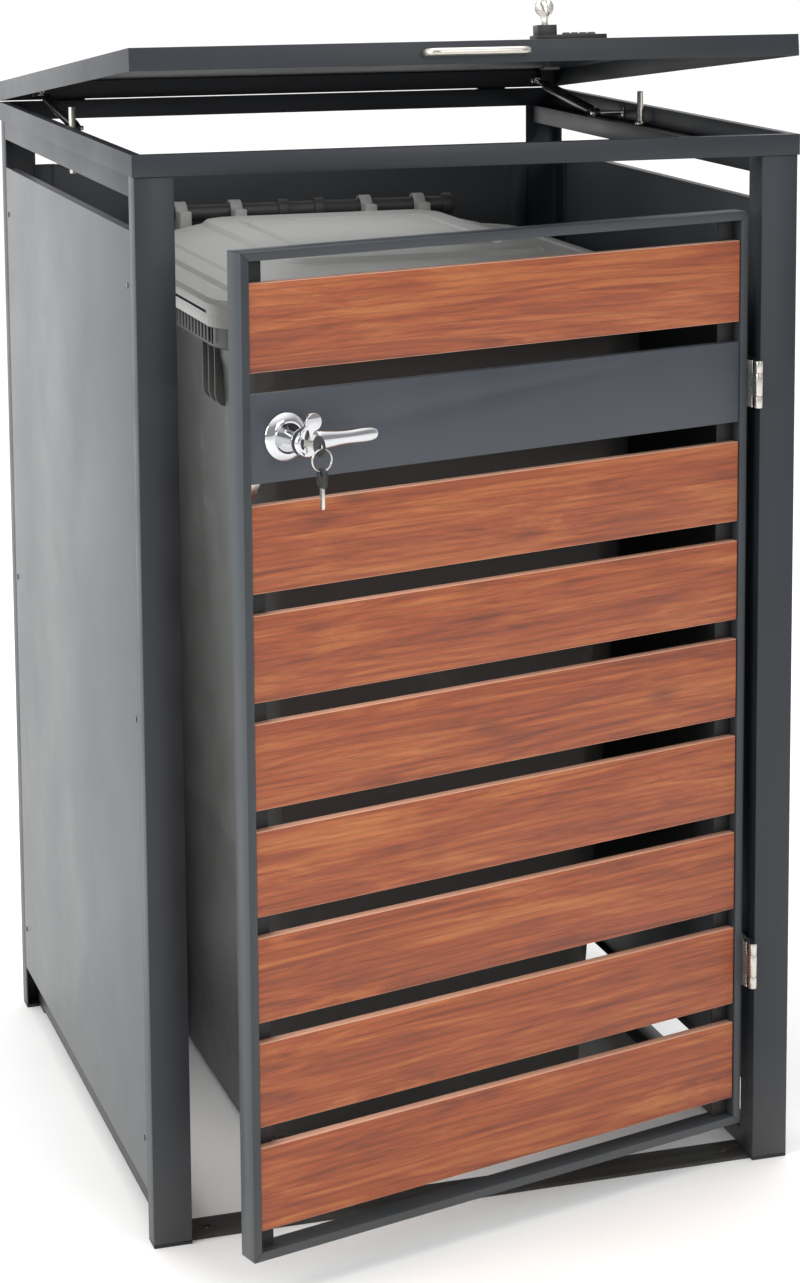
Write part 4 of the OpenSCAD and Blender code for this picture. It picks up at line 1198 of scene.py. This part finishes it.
class HOUSING_OT_bin_lid(bpy.types.Operator):
    """Mould the bin's lid with its raised panels"""
    bl_idname = "bin_housing.bin_lid"
    bl_label = "Bin lid"

    def execute(self, context):
        low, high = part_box("bin_lid")
        skirt_top = high.z - 34 * MM
        skirt_low = skirt_top - 8 * MM
        edge = block(
            "bin_lid_moulded", (low.x, low.y, skirt_top - 12 * MM), (high.x, high.y, skirt_top))
        edit(edge, "EDGE")
        pick(edge, lambda at, way: abs(way.z) > STRAIGHT, "edges")
        bpy.ops.mesh.bevel(offset=50 * MM, segments=8, affect="EDGES")
        bpy.ops.mesh.select_mode(type="FACE")
        pick(edge, lambda at, way: way.z > STRAIGHT)
        w = high.x
        # From the edge inwards: bead, groove, shoulder, dome and the raised panel on top.
        loft_up(edge, [
            (skirt_top + 5 * MM, w - 4 * MM, low.y + 4 * MM, high.y - 4 * MM),
            (skirt_top + 7 * MM, w - 20 * MM, low.y + 20 * MM, high.y - 10 * MM),
            (skirt_top + 4.5 * MM, w - 23 * MM, low.y + 23 * MM, high.y - 12 * MM),
            (skirt_top + 4.5 * MM, w - 36 * MM, low.y + 38 * MM, high.y - 16 * MM),
            (skirt_top + 9 * MM, w - 41 * MM, low.y + 44 * MM, high.y - 19 * MM),
            (skirt_top + 12 * MM, w - 62 * MM, low.y + 72 * MM, high.y - 27 * MM),
            (skirt_top + 15 * MM, w - 66 * MM, low.y + 77 * MM, high.y - 29 * MM),
            (high.z - 7 * MM, w - 118 * MM, low.y + 138 * MM, high.y - 47 * MM),
            (high.z - 1.5 * MM, w - 124 * MM, low.y + 146 * MM, high.y - 51 * MM),
            (high.z, w - 132 * MM, low.y + 156 * MM, high.y - 56 * MM),
            (high.z, w - 156 * MM, low.y + 196 * MM, high.y - 106 * MM),
            (high.z - 4 * MM, w - 159 * MM, low.y + 199 * MM, high.y - 109 * MM),
            (high.z - 4 * MM, w - 165 * MM, low.y + 205 * MM, high.y - 115 * MM),
            (high.z, w - 168 * MM, low.y + 208 * MM, high.y - 118 * MM)])
        bpy.ops.mesh.select_all(action="DESELECT")
        pick(edge, lambda at, way: way.z < -STRAIGHT)
        bpy.ops.mesh.delete(type="FACE")
        face_outwards()
        shell = edge.modifiers.new("wall", "SOLIDIFY")
        shell.thickness = 3.5 * MM
        shell.offset = -1
        only(edge)
        bpy.ops.object.modifier_apply(modifier=shell.name)
        # The rear edge is open below the rim, where the hinge lugs stand.
        carve(edge, block(
            "rear_cut", (-w - 10 * MM, high.y - 40 * MM, low.z - MM),
            (w + 10 * MM, high.y + 10 * MM, skirt_top)))
        soften(edge, 1 * MM, 2, 14)
        pieces = [edge]
        # Front and side skirts hang over the rim, with a rounded corner between them.
        lip = 3 * MM
        corner = 52 * MM
        front = block(
            "front", (-w + corner, low.y, low.z), (w - corner, low.y + lip, skirt_low))
        soften(front, 1 * MM, 2, 50)
        pieces.append(front)
        for side in (-1, 1):
            x = sorted((side * w, side * (w - lip)))
            flank = block(
                "flank", (x[0], low.y + corner, low.z), (x[1], high.y - 62 * MM, skirt_low))
            soften(flank, 1 * MM, 2, 50)
            pieces.append(flank)
            strips = 10
            for k in range(strips):
                angle = math.radians(90 / strips * (k + 0.5))
                # A shade wider than its 9 degrees, so that neighbours overlap.
                half = corner * math.tan(math.radians(4.6))
                strip = block("corner", (-half, -lip, low.z), (half, 0, skirt_low))
                centre = Matrix.Translation((side * (w - corner), low.y + corner, 0))
                turn = Matrix.Rotation(side * angle, 4, "Z")
                strip.data.transform(centre @ turn @ Matrix.Translation((0, lip - corner, 0)))
                pieces.append(strip)
        whole = join("bin_lid_moulded", pieces)
        stand_in(whole, "bin_lid", "bin_lid", "bin_light")
        round_over("bin_lid_arms", "bin_lid", "bin_light", 2.5 * MM)
        return {"FINISHED"}


class HOUSING_OT_bin_rear(bpy.types.Operator):
    """Finish the bin's handle, axle and wheels"""
    bl_idname = "bin_housing.bin_rear"
    bl_label = "Bin handle and wheels"

    def execute(self, context):
        round_over("bin_handle", "root", "bin_dark", 2.2 * MM)
        round_over("bin_axle", "root", "zinc", 1 * MM)
        for side in ("left", "right"):
            self.wheel("bin_wheel_" + side, context.scene.bin_shape.tread_blocks)
        return {"FINISHED"}

    def wheel(self, node, blocks):
        """A rubber tyre with tread blocks on a dished hub."""
        low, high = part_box(node)
        centre = middle((low, high))
        radius = (high.z - low.z) / 2
        half = (high.x - low.x) / 2
        # The tread blocks stand out of the tyre by this much.
        tread_out = 2.2 * MM
        bore = 10.3 * MM
        tyre = turned(
            "tyre", [(-half, radius - 24 * MM), (-half, radius - 10 * MM),
                     (-half + 4 * MM, radius - 3.5 * MM), (-half + 8 * MM, radius - tread_out),
                     (half - 8 * MM, radius - tread_out), (half - 4 * MM, radius - 3.5 * MM),
                     (half, radius - 10 * MM), (half, radius - 24 * MM),
                     (half - 13 * MM, radius - 30 * MM), (half - 14 * MM, 30 * MM),
                     (half - 2 * MM, 24 * MM), (half, 22 * MM), (half, bore)],
            centre, (1, 0, 0), 72)
        soften(tyre, 1.2 * MM, 2, 30)
        tread = block(
            "tread", (-half + 6 * MM, -3.4 * MM, -3.5 * MM), (half - 6 * MM, 3.4 * MM, 0))
        soften(tread, 0.6 * MM, 1, 50)
        places = []
        for k in range(blocks):
            spin = Matrix.Rotation(math.radians(360 / blocks * k), 4, "X")
            places.append(
                Matrix.Translation(centre) @ spin @ Matrix.Translation((0, 0, radius)))
        made = copies(tread, places)
        discard(tread)
        whole = join(node + "_moulded", [tyre] + made)
        stand_in(whole, node, node, "tyre")


# ---------- stage ----------

class HOUSING_OT_stage(bpy.types.Operator):
    """Set the floor, the soft light and the camera"""
    bl_idname = "bin_housing.stage"
    bl_label = "Stage"

    def execute(self, context):
        bpy.ops.object.select_all(action="DESELECT")
        bpy.ops.mesh.primitive_plane_add(size=60, location=(0, 0, 0))
        floor = settle(bpy.context.object, "floor")
        material, tree, shader = start_material(
            "studio_floor_matt", linear("#f4f4f3"), 0.9)
        # Painted floor, matt: faint patches a third of a metre wide, so it is no flat fill.
        place = add_node(tree, "ShaderNodeTexCoord")
        mottle = add_node(
            tree, "ShaderNodeTexNoise", {"Scale": 3.0, "Detail": 3.0},
            {"Vector": place.outputs["Object"]})
        tone = add_node(
            tree, "ShaderNodeValToRGB",
            {"stops": [(0.3, linear("#f1f1f0")), (0.7, linear("#f6f6f5"))]},
            {"Fac": mottle.outputs["Fac"]})
        tree.links.new(tone.outputs["Color"], shader.inputs["Base Color"])
        floor.data.materials.append(material)
        world = bpy.data.worlds.new("studio")
        world.use_nodes = True
        tree = world.node_tree
        sky = add_node(tree, "ShaderNodeTexCoord")
        way = add_node(tree, "ShaderNodeSeparateXYZ", {}, {"Vector": sky.outputs["Generated"]})
        # The studio is white behind and above the housing and dimmer in front of it.
        behind = add_node(
            tree, "ShaderNodeMapRange",
            {"From Min": -0.4, "From Max": 0.5, "To Min": 0.4, "To Max": 1.15},
            {"Value": way.outputs["Y"]})
        above = add_node(
            tree, "ShaderNodeMapRange",
            {"From Min": 0.45, "From Max": 0.9, "To Min": 0.4, "To Max": 1.7},
            {"Value": way.outputs["Z"]})
        strength = add_node(
            tree, "ShaderNodeMath", {"operation": "MAXIMUM"},
            {0: behind.outputs["Result"], 1: above.outputs["Result"]})
        background = tree.nodes["Background"]
        background.inputs["Color"].default_value = (1, 1, 1, 1)
        tree.links.new(strength.outputs["Value"], background.inputs["Strength"])
        context.scene.world = world
        # Four soft boxes stand around the housing, three small lamps light the bin inside it.
        # Each: name, place, aim, width and height in metres, power in watts.
        lamps = (
            ("left_softbox", (-4.6, -1.6, 2.6), (0, 0, 0.7), 2.6, 2.6, 150),
            ("rear_left_softbox", (-1.6, 3.4, 1.0), (-0.39, -0.1, 0.6), 2.4, 2.2, 9),
            ("front_softbox", (1.4, -5.2, 3.0), (0, 0, 0.7), 2.4, 2.4, 60),
            ("top_softbox", (0.2, 0.4, 4.2), (0, 0, 0.7), 2.6, 2.6, 40),
            ("bin_lid_fill", (-0.08, 0.12, 1.21), (-0.08, 0.13, 0), 0.46, 0.3, 0.5),
            ("bin_lid_edge_fill", (-0.25, -0.17, 1.21), (-0.25, -0.16, 0), 0.12, 0.28, 0.15),
            ("bin_side_fill", (-0.366, -0.14, 0.6), (0.2, -0.14, 0.6), 0.32, 0.9, 1.8))
        for name, at, aim, width, height, power in lamps:
            light = bpy.data.lights.new(name, "AREA")
            light.shape = "RECTANGLE"
            light.size = width
            light.size_y = height
            light.energy = power
            lamp = bpy.data.objects.new(name, light)
            lamp.location = at
            lamp.rotation_euler = (Vector(aim) - Vector(at)).to_track_quat("-Z", "Y").to_euler()
            lamp.visible_camera = False
            context.scene.collection.objects.link(lamp)
        self.camera(context, context.scene.stage_view)
        context.scene.view_settings.view_transform = "Standard"
        return {"FINISHED"}

    def camera(self, context, view):
        """Stands the camera where the panel says, looking the way that it says."""
        data = bpy.data.cameras.new("camera")
        data.sensor_width = 36
        data.lens = view.lens
        data.shift_x, data.shift_y = view.shift
        camera = bpy.data.objects.new("camera", data)
        az, el = view.azimuth, view.elevation
        ahead = Vector((math.sin(az) * math.cos(el), math.cos(az) * math.cos(el), -math.sin(el)))
        right = Vector((math.cos(az), -math.sin(az), 0))
        up = right.cross(ahead)
        turn = Matrix((right, up, -ahead)).transposed().to_4x4()
        roll = Matrix.Rotation(view.roll, 4, "Z")
        camera.matrix_world = Matrix.Translation(Vector(view.place)) @ turn @ roll
        context.scene.collection.objects.link(camera)
        context.scene.camera = camera


OPERATORS = (
    HOUSING_OT_finishes, HOUSING_OT_stage, HOUSING_OT_sheet, HOUSING_OT_boards,
    HOUSING_OT_hinges, HOUSING_OT_lid, HOUSING_OT_stays, HOUSING_OT_door_handle,
    HOUSING_OT_lid_lock, HOUSING_OT_bin_body, HOUSING_OT_bin_lid, HOUSING_OT_bin_rear)


class HOUSING_PT_panel(bpy.types.Panel):
    """Lists the steps that build the housing"""
    bl_idname = "HOUSING_PT_panel"
    bl_label = "Bin housing"
    bl_space_type = "VIEW_3D"
    bl_region_type = "UI"
    bl_category = "Bin housing"

    def draw(self, context):
        for group in ("housing_looks", "bin_shape", "stage_view"):
            settings = getattr(context.scene, group)
            for name in settings.__annotations__:
                self.layout.prop(settings, name)
        for step in OPERATORS:
            self.layout.operator(step.bl_idname)


CLASSES = (HousingLooks, BinShape, StageView) + OPERATORS + (HOUSING_PT_panel,)


def register():
    for item in CLASSES:
        bpy.utils.register_class(item)
    bpy.types.Scene.housing_looks = PointerProperty(type=HousingLooks)
    bpy.types.Scene.bin_shape = PointerProperty(type=BinShape)
    bpy.types.Scene.stage_view = PointerProperty(type=StageView)


def unregister():
    for name in ("housing_looks", "bin_shape", "stage_view"):
        delattr(bpy.types.Scene, name)
    for item in reversed(CLASSES):
        bpy.utils.unregister_class(item)


def main():
    """Builds every piece in turn."""
    register()
    for step in OPERATORS:
        group, name = step.bl_idname.split(".")
        getattr(getattr(bpy.ops, group), name)()


if __name__ == "__main__":
    main()
